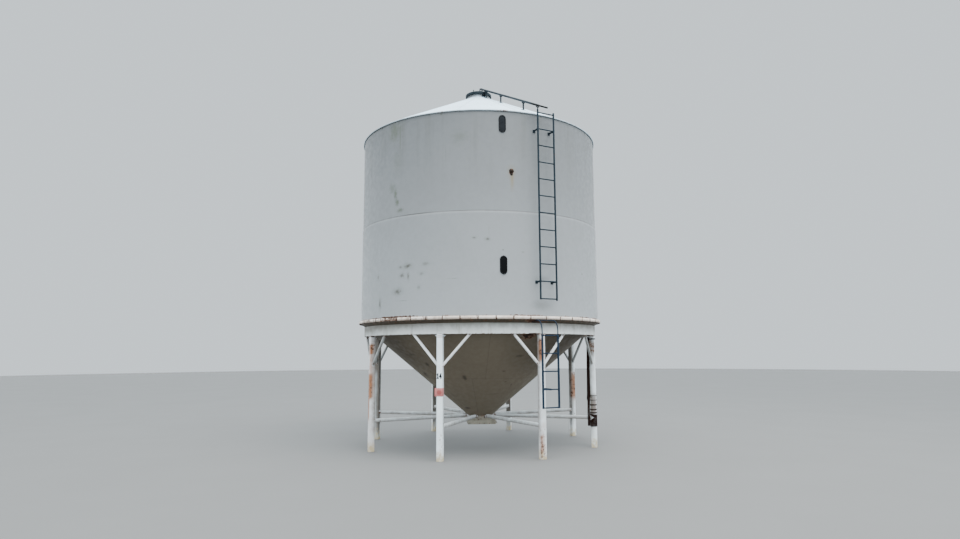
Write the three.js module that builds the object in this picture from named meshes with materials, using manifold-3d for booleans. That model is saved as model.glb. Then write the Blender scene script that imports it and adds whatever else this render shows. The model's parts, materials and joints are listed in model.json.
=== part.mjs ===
// Smooth-wall grain silo with a hopper bottom, standing on eight legs.
// Millimetres, +Z up. The origin is on the ground on the silo's vertical axis.
// An azimuth is measured in degrees from -Y towards +X, seen from above, and
// the first leg stands at azimuth 0.
import * as THREE from 'three';
import { mergeVertices } from 'three/addons/utils/BufferGeometryUtils.js';
import Module from 'manifold-3d';

const wasm = await Module();
wasm.setup();

// Driving dimensions

// A gap that welded or bolted neighbours keep, and the gap of a running seat
const FIT = 0.3;
// Flat sides of each round ring
const SIDES = 96;
const STEP = 360 / SIDES;

// Barrel: two courses of three sheets
const WALL_R_LOWER = 2422;
const WALL_R_UPPER = 2416;
const WALL_T = 16;
const WALL_BASE_Z = 2390;
const WALL_SEAM_Z = 4290;
const WALL_TOP_Z = 6120;
const SHEETS = 3;
const LOWER_SEAM_AZ = -22.5;
const UPPER_SEAM_AZ = 67.5;

// Roof cone with a drip edge, its filler collar and the lid
const ROOF_EDGE_R = 2436;
const ROOF_EDGE_Z = 6122;
const ROOF_SLOPE = 0.514;
const ROOF_T = 12;
const DRIP_DROP = 18;
const DRIP_T = 12;
const COLLAR_R = 250;
const COLLAR_T = 10;
const COLLAR_TOP_Z = 7355;
const LID_R = 279;
const LID_SKIRT_T = 15;
const LID_SKIRT_Z = 7305;
const LID_RIM_Z = 7368;
const LID_CROWN_Z = 7386;

// Hopper cone, its ring beam and the ledge of short plates round its top
const HOPPER_SLOPE = 0.844;
const HOPPER_T = 12;
const HOPPER_MOUTH_R = 254;
const HOPPER_MOUTH_Z = 572;
const BEAM_R = 2360;
const BEAM_BASE_Z = 2146;
const BEAM_TOP_Z = 2336;
const BEAM_T = 14;
const BEAM_FLANGE = 100;
const LEDGE_R = 2470;
const LEDGE_TOP_Z = 2453;
const LEDGE_PLATES = 50;
const LEDGE_SEAM_AZ = 2.2;

// Legs with two knee braces each, and a spoke from each leg to the outlet
const LEGS = 8;
const LEG_W = 101.6;
const LEG_R = 2310;
const CAP_W = 150;
const CAP_D = 112;
const CAP_T = 14;
const FIRST_CAP_W = 170;
const FIRST_CAP_DROP = 18;
const FIRST_CAP_T = 22;
const BRACE_W = 41;
const BRACE_FOOT_Z = 1615;
const BRACE_SPREAD_AZ = 13;
// A brace starts this far inside its leg, as a share of the leg's width
const BRACE_ROOT = 0.2;
// A brace runs on past the beam before it is cut level with it
const BRACE_OVERRUN = 60;
const SPOKE_W = 63.5;
const SPOKE_Z = 565;

// A black cable tied down the inner side of the third leg and wound round it
const CABLE_AZ = 90;
const CABLE_D = 12;
const CABLE_WOUND_Z = [392, 632];
// Bands of a few turns: middle height and band height
const CABLE_BANDS = [[660, 24], [720, 36], [810, 24], [900, 36], [985, 12], [2080, 24]];
const CABLE_TOP_Z = 2124;
const CABLE_SIDE_T = [-32, -8];
const CABLE_FRONT_T = [-56, -34];
const CABLE_BUNDLE = { top: 50, low: 66, thin: 44, widestZ: 1500, narrowZ: 950, thinZ: 860, frontZ: 760 };
const CABLE_SPOKE_ROOM = 8;

// Outlet: a short round neck and a slide gate that is pulled out sideways
const NECK_R = 245;
const NECK_T = 12;
const GATE_AZ = 112.5;
const GATE_TOP_Z = 478;
const GATE_BASE_Z = 400;
const GATE_BACK = -275;
const GATE_FRONT = 300;
const GATE_W = 520;
const GATE_HOLE_R = 200;
const SLOT_HALF_W = 235;
const SLOT_BASE_Z = 422.5;
const SLOT_TOP_Z = 441.5;
const RUNNER_Z = 428;
const RUNNER_W = 15;
const PLATE_HALF_W = 230;
const PLATE_T = 8;
const PLATE_BACK = -235;
const PLATE_FRONT = 318;
const PULL_W = 300;
const PULL_T = 12;
const PULL_DROP = 30;

// Ladders
const RUNG_PITCH = 304.8;
const RUNG_R = 11;
const UPPER_AZ = 45.4;
const UPPER_R = 2560;
const UPPER_HALF_W = 170;
const UPPER_RAIL_R = 16.5;
const UPPER_LEFT_TOP_Z = 6155;
const UPPER_RIGHT_TOP_Z = 6136;
const UPPER_LEFT_TAIL = 14;
const UPPER_RIGHT_TAIL = 30;
const UPPER_TOP_RUNG_Z = 6098;
const UPPER_RUNGS = 12;
const UPPER_BRACKET_Z = [5793, 3050];
const ARM_HALF_W = 9;
const ARM_HALF_H = 15;
const ARM_PAD_HALF_W = 25;
const ARM_PAD_T = 8;
const ARM_PAD_UP = 24;
const ARM_PAD_DOWN = 32;
const LOWER_AZ = 44.7;
const LOWER_R = 2620;
const LOWER_HALF_W = 161;
const LOWER_RAIL_R = 19;
const LOWER_TOP_RUNG_Z = 2110;
const LOWER_RUNGS = 5;
const STAY_RUNG = 3;
const RAIL_TAIL = 12;
const HANGER_HALF_W = 8;
const CROSS_BAR_R = 2480;
const CROSS_BAR_W = 14;
const CROSS_BAR_TOP_Z = 2384;
const STAY_HALF_W = 16;
const STAY_HALF_H = 20;

// Lid hinge, and the pull rod that runs down the roof to the ladder
const ROD_AZ = 41.6;
const HINGE_R = 305;
const HINGE_Z = 7330;
const PIN_R = 6;
const PIN_HOLE_R = 6.6;
const ROD_R = 20;
const ROD_PIN_R = 125;
const ROD_PIN_Z = 7475;
const ROD_END_R = 2608;
const ROD_END_Z = 6208;
const GRIP_R = 16;
const GRIP_LEFT = 155;
const GRIP_RIGHT = 190;
const GRIP_TILT = 4.5;
const GUIDE_AT_R = [395, 1085, 2030];
const GUIDE_RAIL_R = 2566;
const GUIDE_T = 12;
const PRONG_IN = 25;
const PRONG_OUT = 32;
const PRONG_H = 34;
const SADDLE_T = 16;
const POST_IN_SADDLE = 8;
const GUIDE_FOOT_HALF_L = 40;
const GUIDE_FOOT_HALF_W = 30;
const GUIDE_FOOT_T = 8;
const GUIDE_POST_HALF_W = 15;
const RAIL_POST_HALF_W = 9;

// Sight windows on the barrel
const WINDOW_AZ = 27.2;
const WINDOW_W = 132;
const WINDOW_H = 326;
const WINDOW_T = 14;
const WINDOW_Z = { lower: 3329, upper: 5869 };

// Finishes

const paint = (color, roughness, metalness) =>
  () => new THREE.MeshStandardMaterial({ color, roughness, metalness });

const whitePaint = paint(0xc9cbcb, 0.55, 0.1);
const roofPaint = paint(0xe3e7e8, 0.45, 0.1);
const legPaint = paint(0xd3cdc4, 0.6, 0.1);
const hopperPaint = paint(0xb3b0a8, 0.6, 0.1);
const ledgePaint = paint(0xd8cdc2, 0.65, 0.1);
const ladderPaint = paint(0x2c4450, 0.5, 0.2);
const darkSteel = paint(0x3a454b, 0.5, 0.4);
const gripRubber = paint(0x17191b, 0.8, 0.0);
const cableRubber = paint(0x1c1210, 0.7, 0);
const windowBlack = paint(0x22262a, 0.3, 0.1);
const outletPaint = paint(0x9b968c, 0.65, 0.2);

// Ways of making a solid

// A closed solid from any closed geometry, turned to face outwards
function solidOf(geometry) {
  const bare = geometry.index ? geometry.toNonIndexed() : geometry.clone();
  bare.deleteAttribute('normal');
  bare.deleteAttribute('uv');
  const merged = mergeVertices(bare, 0.002);
  const place = merged.attributes.position.array;
  const corners = merged.index.array;
  const triangles = [];
  let volume = 0;
  const [a, b, c] = [new THREE.Vector3(), new THREE.Vector3(), new THREE.Vector3()];
  for (let i = 0; i < corners.length; i += 3) {
    const [u, v, w] = [corners[i], corners[i + 1], corners[i + 2]];
    if (u === v || v === w || w === u) continue;
    triangles.push(u, v, w);
    a.fromArray(place, 3 * u);
    b.fromArray(place, 3 * v);
    c.fromArray(place, 3 * w);
    volume += a.dot(b.cross(c)) / 6;
  }
  if (volume < 0) {
    for (let i = 0; i < triangles.length; i += 3) {
      [triangles[i + 1], triangles[i + 2]] = [triangles[i + 2], triangles[i + 1]];
    }
  }
  return new wasm.Manifold(new wasm.Mesh({
    numProp: 3,
    vertProperties: new Float32Array(place),
    triVerts: new Uint32Array(triangles),
  }));
}

function joined(solids) {
  return solids.reduce((whole, piece) => whole.add(piece));
}

function geometryOf(solid) {
  const mesh = solid.getMesh();
  const geometry = new THREE.BufferGeometry();
  geometry.setAttribute('position', new THREE.BufferAttribute(mesh.vertProperties, 3));
  geometry.setIndex(new THREE.BufferAttribute(mesh.triVerts, 1));
  geometry.computeVertexNormals();
  return geometry;
}

// A ring turned from a closed profile of [radius, height] points
function turned(profile, sides = SIDES) {
  const points = profile.map(([r, z]) => new THREE.Vector2(r, z));
  if (profile[0][0] > 0) points.push(points[0].clone());
  return solidOf(new THREE.LatheGeometry(points, sides).rotateX(Math.PI / 2));
}

const radians = THREE.MathUtils.degToRad;

// A point at a radius and an azimuth, seen from above
function around(r, azimuth) {
  return new THREE.Vector2(r * Math.sin(radians(azimuth)), -r * Math.cos(radians(azimuth)));
}

function upright(shape, z0, z1) {
  const geometry = new THREE.ExtrudeGeometry(shape, { depth: z1 - z0, bevelEnabled: false });
  return solidOf(geometry.translate(0, 0, z0));
}

// A plate cut to an outline of [outward, height] points, from t0 to t1 sideways
function plate(outline, t0, t1) {
  const shape = new THREE.Shape(outline.map(([r, z]) => new THREE.Vector2(r, z)));
  const geometry = new THREE.ExtrudeGeometry(shape, { depth: t1 - t0, bevelEnabled: false });
  geometry.applyMatrix4(new THREE.Matrix4().set(
    0, 0, 1, t0,
    -1, 0, 0, 0,
    0, 1, 0, 0,
    0, 0, 0, 1,
  ));
  return solidOf(geometry);
}

// A box by its lowest and highest corners: sideways, outward, height
function block([t0, r0, z0], [t1, r1, z1]) {
  const geometry = new THREE.BoxGeometry(t1 - t0, r1 - r0, z1 - z0);
  return solidOf(geometry.translate((t0 + t1) / 2, -(r0 + r1) / 2, (z0 + z1) / 2));
}

// A round or square bar between two points given as sideways, outward, height
function bar(from, to, radius, sides) {
  const start = new THREE.Vector3(from[0], -from[1], from[2]);
  const end = new THREE.Vector3(to[0], -to[1], to[2]);
  const along = end.clone().sub(start);
  const geometry = new THREE.CylinderGeometry(radius, radius, along.length(), sides);
  geometry.rotateY(Math.PI / sides);
  const turn = new THREE.Quaternion().setFromUnitVectors(
    new THREE.Vector3(0, 1, 0), along.clone().normalize());
  geometry.applyQuaternion(turn);
  const middle = start.add(end).multiplyScalar(0.5);
  return solidOf(geometry.translate(middle.x, middle.y, middle.z));
}

const silo = new THREE.Group();

// Adds a named piece, turned about the silo's axis to its azimuth
function add(name, solid, finish, azimuth = 0) {
  const mesh = new THREE.Mesh(geometryOf(solid), finish());
  mesh.name = name;
  mesh.rotation.z = radians(azimuth);
  silo.add(mesh);
}

// Barrel

function wallSheet(outerR, z0, z1, startAz) {
  const count = SIDES / SHEETS;
  const slack = THREE.MathUtils.radToDeg(FIT / 2 / outerR);
  const azimuthAt = (i) => {
    if (i === 0) return startAz + slack;
    if (i === count) return startAz + count * STEP - slack;
    return startAz + i * STEP;
  };
  const outline = [];
  for (let i = 0; i <= count; i++) outline.push(around(outerR, azimuthAt(i)));
  for (let i = count; i >= 0; i--) outline.push(around(outerR - WALL_T, azimuthAt(i)));
  return upright(new THREE.Shape(outline), z0, z1);
}

for (let i = 0; i < SHEETS; i++) {
  const turn = 360 / SHEETS * i;
  add(`wall_lower_${i + 1}`,
    wallSheet(WALL_R_LOWER, WALL_BASE_Z, WALL_SEAM_Z, LOWER_SEAM_AZ + turn), whitePaint);
  add(`wall_upper_${i + 1}`,
    wallSheet(WALL_R_UPPER, WALL_SEAM_Z, WALL_TOP_Z, UPPER_SEAM_AZ + turn), whitePaint);
}

// Roof, collar

const roofZ = (r) => ROOF_EDGE_Z + (ROOF_EDGE_R - r) * ROOF_SLOPE;

const seatIn = WALL_R_UPPER - WALL_T - 10;
const dripIn = ROOF_EDGE_R - DRIP_T;
add('roof_cone', turned([
  [COLLAR_R + FIT, roofZ(COLLAR_R) - ROOF_T],
  [COLLAR_R + FIT, roofZ(COLLAR_R)],
  [ROOF_EDGE_R, ROOF_EDGE_Z],
  [ROOF_EDGE_R, ROOF_EDGE_Z - DRIP_DROP],
  [dripIn, ROOF_EDGE_Z - DRIP_DROP],
  [dripIn, WALL_TOP_Z],
  [seatIn, WALL_TOP_Z],
  [seatIn, roofZ(seatIn) - ROOF_T],
]), roofPaint);

add('roof_collar', turned([
  [COLLAR_R - COLLAR_T, roofZ(COLLAR_R) - ROOF_T - COLLAR_T],
  [COLLAR_R, roofZ(COLLAR_R) - ROOF_T - COLLAR_T],
  [COLLAR_R, COLLAR_TOP_Z],
  [COLLAR_R - COLLAR_T, COLLAR_TOP_Z],
], SIDES / 2), roofPaint);

// Lid with its hinge knuckle and the two ears that hold the rod's pin

const circle = (r, z, radius, count, from = 0, sweep = 360) => {
  const points = [];
  const last = sweep === 360 ? count - 1 : count;
  for (let i = 0; i <= last; i++) {
    const angle = radians(from + sweep * i / count);
    points.push([r + radius * Math.cos(angle), z + radius * Math.sin(angle)]);
  }
  return points;
};

const DRILL_HALF_L = 60;
const KNUCKLE_R = 13;
const KNUCKLE_HALF_W = 15;
const EAR_IN = 20;
const EAR_OUT = 27;
const EAR_FOOT_Z = LID_RIM_Z + 8;
const EAR_FOOT_HALF_L = 35;
const LID_DISH_R = 200;
const LID_DISH = 16;
const LID_FLAT_R = 100;
const LID_ROUND = 6;

const skirtIn = LID_R - LID_SKIRT_T;
const lidUnder = COLLAR_TOP_Z + FIT;
const lidShell = turned([
  [0, lidUnder + LID_DISH],
  [LID_DISH_R, lidUnder],
  [skirtIn, lidUnder],
  [skirtIn, LID_SKIRT_Z],
  [LID_R, LID_SKIRT_Z],
  [LID_R, LID_RIM_Z - LID_ROUND],
  [LID_R - LID_ROUND, LID_RIM_Z],
  [LID_FLAT_R, LID_CROWN_Z - 2],
  [0, LID_CROWN_Z],
], SIDES / 2);

const pinHole = (r, z) => bar([-DRILL_HALF_L, r, z], [DRILL_HALF_L, r, z], PIN_HOLE_R, 16);
const knuckle = plate([
  [LID_R - 5, HINGE_Z - KNUCKLE_R],
  ...circle(HINGE_R, HINGE_Z, KNUCKLE_R, 8, -90, 180),
  [LID_R - 5, HINGE_Z + KNUCKLE_R],
], -KNUCKLE_HALF_W, KNUCKLE_HALF_W).subtract(pinHole(HINGE_R, HINGE_Z));

function rodEar(t0, t1) {
  return plate([
    [ROD_PIN_R - EAR_FOOT_HALF_L, EAR_FOOT_Z],
    [ROD_PIN_R + EAR_FOOT_HALF_L, EAR_FOOT_Z],
    ...circle(ROD_PIN_R, ROD_PIN_Z, KNUCKLE_R, 8, 0, 180),
  ], t0, t1);
}
const rodPin = bar([-EAR_OUT, ROD_PIN_R, ROD_PIN_Z], [EAR_OUT, ROD_PIN_R, ROD_PIN_Z], PIN_R, 12);
add('roof_lid', joined([
  lidShell, knuckle, rodEar(-EAR_OUT, -EAR_IN), rodEar(EAR_IN, EAR_OUT), rodPin,
]), darkSteel, ROD_AZ);

// Hinge bracket on the collar: two ears, the web between them and the pin

const HINGE_EAR_IN = 25;
const HINGE_EAR_OUT = 33;
const HINGE_PIN_HALF_L = 38;
const HINGE_FOOT_Z = 7252;
const HINGE_WEB_T = 11;
const HINGE_EAR_R = 17;
const HINGE_EAR_TOP_Z = HINGE_Z + 14;
const bracketTop = LID_SKIRT_Z - 7;
const bracketFace = COLLAR_R + FIT;

function hingeEar(t0, t1) {
  return plate([
    [bracketFace, HINGE_FOOT_Z],
    [HINGE_R - 5, HINGE_FOOT_Z + 10],
    [HINGE_R + HINGE_EAR_R, HINGE_Z - 20],
    [HINGE_R + HINGE_EAR_R, HINGE_EAR_TOP_Z],
    [HINGE_R - HINGE_EAR_R, HINGE_EAR_TOP_Z],
    [HINGE_R - HINGE_EAR_R, bracketTop],
    [bracketFace, bracketTop],
  ], t0, t1);
}
add('lid_hinge_bracket', joined([
  hingeEar(-HINGE_EAR_OUT, -HINGE_EAR_IN),
  hingeEar(HINGE_EAR_IN, HINGE_EAR_OUT),
  block([-HINGE_EAR_OUT, bracketFace, HINGE_FOOT_Z],
    [HINGE_EAR_OUT, bracketFace + HINGE_WEB_T, bracketTop]),
  bar([-HINGE_PIN_HALF_L, HINGE_R, HINGE_Z], [HINGE_PIN_HALF_L, HINGE_R, HINGE_Z], PIN_R, 12),
]), darkSteel, ROD_AZ);

// Pull rod, from its eye over the lid down to the cross grip at the ladder

const rodRun = ROD_END_R - ROD_PIN_R;
const rodDrop = ROD_PIN_Z - ROD_END_Z;
const rodSlope = rodDrop / rodRun;
const rodLength = Math.hypot(rodRun, rodDrop);
const rodZ = (r) => ROD_PIN_Z - (r - ROD_PIN_R) * rodSlope;
const alongRod = (s, up = 0) => [
  ROD_PIN_R + (s * rodRun + up * rodDrop) / rodLength,
  ROD_PIN_Z + (up * rodRun - s * rodDrop) / rodLength,
];

const EYE_R = 16;
const EYE_HALF_W = 12;
const EYE_CORNER = EYE_R * Math.SQRT1_2;
const EYE_TONGUE = 10;
const TUBE_START = 42;
const TONGUE_END = TUBE_START + 20;
const eyePlate = plate([
  alongRod(TONGUE_END, -EYE_TONGUE),
  alongRod(TONGUE_END, EYE_TONGUE),
  alongRod(0, EYE_R),
  alongRod(-EYE_CORNER, EYE_CORNER),
  alongRod(-EYE_R, 0),
  alongRod(-EYE_CORNER, -EYE_CORNER),
  alongRod(0, -EYE_R),
], -EYE_HALF_W, EYE_HALF_W);
add('lid_rod', joined([
  eyePlate.subtract(pinHole(ROD_PIN_R, ROD_PIN_Z)),
  bar([0, ...alongRod(TUBE_START)], [0, ...alongRod(rodLength - GRIP_R - FIT)], ROD_R, 10),
]), darkSteel, ROD_AZ);

// The grip lies square to the rod, turned a little about the rod's own line
const gripEnd = (s) => [
  s * Math.cos(radians(GRIP_TILT)),
  ...alongRod(rodLength, -s * Math.sin(radians(GRIP_TILT))),
];
add('rod_grip', bar(gripEnd(-GRIP_LEFT), gripEnd(GRIP_RIGHT), GRIP_R, 12), gripRubber, ROD_AZ);

// Forked guides that carry the rod over the roof

const rodUnder = ROD_R * rodLength / rodRun;
const saddleZ = (r) => rodZ(r + GUIDE_T / 2) - rodUnder - FIT;

function fork(r) {
  const [r0, r1] = [r - GUIDE_T / 2, r + GUIDE_T / 2];
  return joined([
    block([-PRONG_OUT, r0, saddleZ(r) - SADDLE_T], [PRONG_OUT, r1, saddleZ(r)]),
    block([-PRONG_OUT, r0, saddleZ(r) - SADDLE_T], [-PRONG_IN, r1, saddleZ(r) + PRONG_H]),
    block([PRONG_IN, r0, saddleZ(r) - SADDLE_T], [PRONG_OUT, r1, saddleZ(r) + PRONG_H]),
  ]);
}

function roofGuide(r) {
  const [r0, r1] = [r - GUIDE_FOOT_HALF_L, r + GUIDE_FOOT_HALF_L];
  const foot = plate([
    [r0, roofZ(r0) + FIT],
    [r1, roofZ(r1) + FIT],
    [r1, roofZ(r1) + GUIDE_FOOT_T],
    [r0, roofZ(r0) + GUIDE_FOOT_T],
  ], -GUIDE_FOOT_HALF_W, GUIDE_FOOT_HALF_W);
  const post = block([-GUIDE_POST_HALF_W, r - GUIDE_T / 2, roofZ(r) + GUIDE_FOOT_T / 2],
    [GUIDE_POST_HALF_W, r + GUIDE_T / 2, saddleZ(r) - POST_IN_SADDLE]);
  return joined([foot, post, fork(r)]);
}
GUIDE_AT_R.forEach((r, i) => add(`rod_guide_${i + 1}`, roofGuide(r), darkSteel, ROD_AZ));

// The last guide stands on the top of the ladder's left rail
const railGuidePost = block(
  [-RAIL_POST_HALF_W, GUIDE_RAIL_R - GUIDE_T / 2, UPPER_LEFT_TOP_Z + FIT],
  [RAIL_POST_HALF_W, GUIDE_RAIL_R + GUIDE_T / 2, saddleZ(GUIDE_RAIL_R) - POST_IN_SADDLE]);
add(`rod_guide_${GUIDE_AT_R.length + 1}`, railGuidePost.add(fork(GUIDE_RAIL_R)), darkSteel, ROD_AZ);

// Hopper, ring beam and ledge

const hopperR = (z) => HOPPER_MOUTH_R + (z - HOPPER_MOUTH_Z) / HOPPER_SLOPE;
const hopperWallR = HOPPER_T / Math.sin(Math.atan(HOPPER_SLOPE));
add('hopper_cone', turned([
  [HOPPER_MOUTH_R - hopperWallR, HOPPER_MOUTH_Z],
  [HOPPER_MOUTH_R, HOPPER_MOUTH_Z],
  [hopperR(WALL_BASE_Z), WALL_BASE_Z],
  [hopperR(WALL_BASE_Z) - hopperWallR, WALL_BASE_Z],
]), hopperPaint);

const beamIn = hopperR(BEAM_TOP_Z) + FIT;
add('ring_beam', turned([
  [BEAM_R - BEAM_FLANGE, BEAM_BASE_Z],
  [BEAM_R, BEAM_BASE_Z],
  [BEAM_R, BEAM_TOP_Z],
  [beamIn, BEAM_TOP_Z],
  [beamIn, BEAM_BASE_Z + BEAM_T],
  [BEAM_R - BEAM_FLANGE, BEAM_BASE_Z + BEAM_T],
]), whitePaint);

function ledgeRing() {
  const outline = [];
  for (let i = 0; i < LEDGE_PLATES; i++) {
    outline.push(around(LEDGE_R, LEDGE_SEAM_AZ + 360 / LEDGE_PLATES * i));
  }
  const hole = [];
  for (let i = 0; i < SIDES; i++) hole.push(around(WALL_R_LOWER + FIT, STEP * i));
  const shape = new THREE.Shape(outline);
  shape.holes.push(new THREE.Path(hole));
  return upright(shape, WALL_BASE_Z, LEDGE_TOP_Z);
}
add('ledge_ring', ledgeRing(), ledgePaint);

// Legs, each with its cap plate and its two knee braces

function brace(side) {
  const out = radians(BRACE_SPREAD_AZ);
  const [footT, headT] = [LEG_W * (0.5 - BRACE_ROOT), LEG_R * Math.sin(out)];
  const headR = LEG_R * Math.cos(out);
  const rise = (BEAM_BASE_Z - BRACE_FOOT_Z) / (headT - LEG_W / 2);
  const footZ = BRACE_FOOT_Z - rise * (LEG_W / 2 - footT);
  const headZ = BEAM_BASE_Z + rise * BRACE_OVERRUN;
  return bar([side * footT, LEG_R, footZ], [side * (headT + BRACE_OVERRUN), headR, headZ],
    BRACE_W * Math.SQRT1_2, 4);
}

function leg(index) {
  const half = LEG_W / 2;
  const [inner, outer] = [LEG_R - CAP_D / 2, LEG_R + half];
  const pieces = [brace(-1), brace(1)];
  if (index === 0) {
    const capTop = BEAM_BASE_Z - FIRST_CAP_DROP;
    const capHalf = FIRST_CAP_W / 2;
    pieces.push(block([-half, LEG_R - half, 0], [half, outer, capTop]));
    pieces.push(block([-capHalf, inner, capTop - FIRST_CAP_T], [capHalf, outer, capTop]));
    pieces.push(block([-half, LEG_R - half, capTop - 1], [half, outer, BEAM_BASE_Z]));
  } else {
    const capHalf = CAP_W / 2;
    pieces.push(block([-half, LEG_R - half, 0], [half, outer, BEAM_BASE_Z]));
    pieces.push(block([-capHalf, inner, BEAM_BASE_Z - CAP_T], [capHalf, outer, BEAM_BASE_Z]));
  }
  const above = block([-LEG_R, 0, BEAM_BASE_Z], [LEG_R, 2 * LEG_R, BEAM_TOP_Z]);
  return joined(pieces).subtract(above);
}

function spoke() {
  const [z0, z1] = [SPOKE_Z - SPOKE_W / 2, SPOKE_Z + SPOKE_W / 2];
  const legFace = LEG_R - LEG_W / 2 - FIT;
  const under = HOPPER_MOUTH_Z - FIT;
  return plate([
    [NECK_R + 2 * FIT, z0],
    [legFace, z0],
    [legFace, z1],
    [hopperR(z1) + 2 * FIT, z1],
    [hopperR(under) + 2 * FIT, under],
    [NECK_R + 2 * FIT, under],
  ], -SPOKE_W / 2, SPOKE_W / 2);
}

for (let i = 0; i < LEGS; i++) {
  const azimuth = 360 / LEGS * i;
  add(`leg_${i + 1}`, leg(i), legPaint, azimuth);
  add(`spoke_${i + 1}`, spoke(), legPaint, azimuth);
}

// Cable: bands of turns and a dense winding round the leg, and the bundle of runs beside them

function legCable() {
  const inner = LEG_W / 2 + FIT;
  const outer = inner + CABLE_D;
  const face = LEG_R - inner;
  const wound = (z0, z1) =>
    block([-outer, LEG_R - outer, z0], [outer, LEG_R + outer, z1]).subtract(
      block([-inner, LEG_R - inner, z0 - 1], [inner, LEG_R + inner, z1 + 1]));
  const room = SPOKE_W / 2 + CABLE_SPOKE_ROOM;
  const spokeRoom = block([-room, 0, SPOKE_Z - room], [room, face + 1, SPOKE_Z + room]);
  const { top, low, thin, widestZ, narrowZ, thinZ, frontZ } = CABLE_BUNDLE;
  const bundle = plate([
    [face - thin, CABLE_WOUND_Z[1] - CABLE_D],
    [face, CABLE_WOUND_Z[1] - CABLE_D],
    [face, CABLE_TOP_Z],
    [face - top, CABLE_TOP_Z],
    [face - low, widestZ],
    [face - low, narrowZ],
    [face - thin, thinZ],
  ], ...CABLE_SIDE_T);
  const [frontT0, frontT1] = CABLE_FRONT_T;
  return joined([
    bundle,
    block([frontT0, face - thin, CABLE_WOUND_Z[0]], [frontT1, face, frontZ]),
    wound(...CABLE_WOUND_Z).subtract(spokeRoom),
    ...CABLE_BANDS.map(([z, height]) => wound(z - height / 2, z + height / 2)),
  ]);
}
add('leg_cable', legCable(), cableRubber, CABLE_AZ);

// Outlet neck, slide-gate frame and its plate

add('outlet_neck', turned([
  [NECK_R - NECK_T, GATE_TOP_Z],
  [NECK_R, GATE_TOP_Z],
  [NECK_R, HOPPER_MOUTH_Z],
  [NECK_R - NECK_T, HOPPER_MOUTH_Z],
], SIDES / 2), outletPaint);

function gateFrame() {
  const half = GATE_W / 2;
  const bevel = 14;
  const body = plate([
    [GATE_BACK + bevel, GATE_BASE_Z],
    [GATE_FRONT - bevel, GATE_BASE_Z],
    [GATE_FRONT, GATE_BASE_Z + bevel],
    [GATE_FRONT, GATE_TOP_Z],
    [GATE_BACK, GATE_TOP_Z],
    [GATE_BACK, GATE_BASE_Z + bevel],
  ], -half, half);
  const slotBack = PLATE_BACK - 5;
  const slot = block([-SLOT_HALF_W, slotBack, SLOT_BASE_Z],
    [SLOT_HALF_W, 2 * GATE_FRONT, SLOT_TOP_Z]);
  const runner = (side) => block(
    [side * SLOT_HALF_W - RUNNER_W, slotBack - 1, SLOT_BASE_Z - 1],
    [side * SLOT_HALF_W + RUNNER_W, GATE_FRONT, RUNNER_Z]);
  const hole = bar([0, 0, 0], [0, 0, 2 * GATE_TOP_Z], GATE_HOLE_R, 48);
  return body.subtract(slot).add(runner(-1)).add(runner(1)).subtract(hole);
}
add('gate_frame', gateFrame(), outletPaint, GATE_AZ);

const plateZ = RUNNER_Z + FIT;
add('gate_plate', joined([
  block([-PLATE_HALF_W, PLATE_BACK, plateZ], [PLATE_HALF_W, PLATE_FRONT, plateZ + PLATE_T]),
  block([-PULL_W / 2, PLATE_FRONT - 1, plateZ + PLATE_T - PULL_DROP],
    [PULL_W / 2, PLATE_FRONT + PULL_T, plateZ + PLATE_T]),
]), outletPaint, GATE_AZ);

// Upper ladder on four stand-off brackets

function rungs(count, topZ, r, halfW) {
  const bars = [];
  for (let i = 0; i < count; i++) {
    const z = topZ - RUNG_PITCH * i;
    bars.push(bar([-halfW, r, z], [halfW, r, z], RUNG_R, 8));
  }
  return bars;
}

function standOff(side, z) {
  const railR = Math.hypot(UPPER_R, UPPER_HALF_W);
  const wallR = (z > WALL_SEAM_Z ? WALL_R_UPPER : WALL_R_LOWER) + FIT;
  const turn = side * Math.atan2(UPPER_HALF_W, UPPER_R);
  const arm = block([-ARM_HALF_W, wallR, z - ARM_HALF_H], [ARM_HALF_W, railR, z + ARM_HALF_H]);
  const pad = block([-ARM_PAD_HALF_W, wallR, z - ARM_PAD_DOWN],
    [ARM_PAD_HALF_W, wallR + ARM_PAD_T, z + ARM_PAD_UP]);
  return arm.add(pad).rotate([0, 0, THREE.MathUtils.radToDeg(turn)]);
}

const upperBottomZ = UPPER_TOP_RUNG_Z - RUNG_PITCH * (UPPER_RUNGS - 1);
add('upper_ladder', joined([
  bar([-UPPER_HALF_W, UPPER_R, upperBottomZ - UPPER_LEFT_TAIL],
    [-UPPER_HALF_W, UPPER_R, UPPER_LEFT_TOP_Z], UPPER_RAIL_R, 8),
  bar([UPPER_HALF_W, UPPER_R, upperBottomZ - UPPER_RIGHT_TAIL],
    [UPPER_HALF_W, UPPER_R, UPPER_RIGHT_TOP_Z], UPPER_RAIL_R, 8),
  ...rungs(UPPER_RUNGS, UPPER_TOP_RUNG_Z, UPPER_R, UPPER_HALF_W),
  ...UPPER_BRACKET_Z.flatMap((z) => [standOff(-1, z), standOff(1, z)]),
]), ladderPaint, UPPER_AZ);

// Lower ladder, hung under the ledge and stayed to the leg behind it

function hanger(side) {
  const t = side * LOWER_HALF_W;
  const z = WALL_BASE_Z;
  return plate([
    [LOWER_R - 6, LOWER_TOP_RUNG_Z],
    [LOWER_R + 6, LOWER_TOP_RUNG_Z],
    [LOWER_R + 4, z - 150],
    [LOWER_R - 30, z - 60],
    [LOWER_R - 110, z - 8],
    [LOWER_R - 160, z],
    [LOWER_R - 190, z],
    [LOWER_R - 182, z - 14],
    [LOWER_R - 116, z - 20],
    [LOWER_R - 40, z - 68],
    [LOWER_R - 8, z - 154],
  ], t - HANGER_HALF_W, t + HANGER_HALF_W);
}

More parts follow.
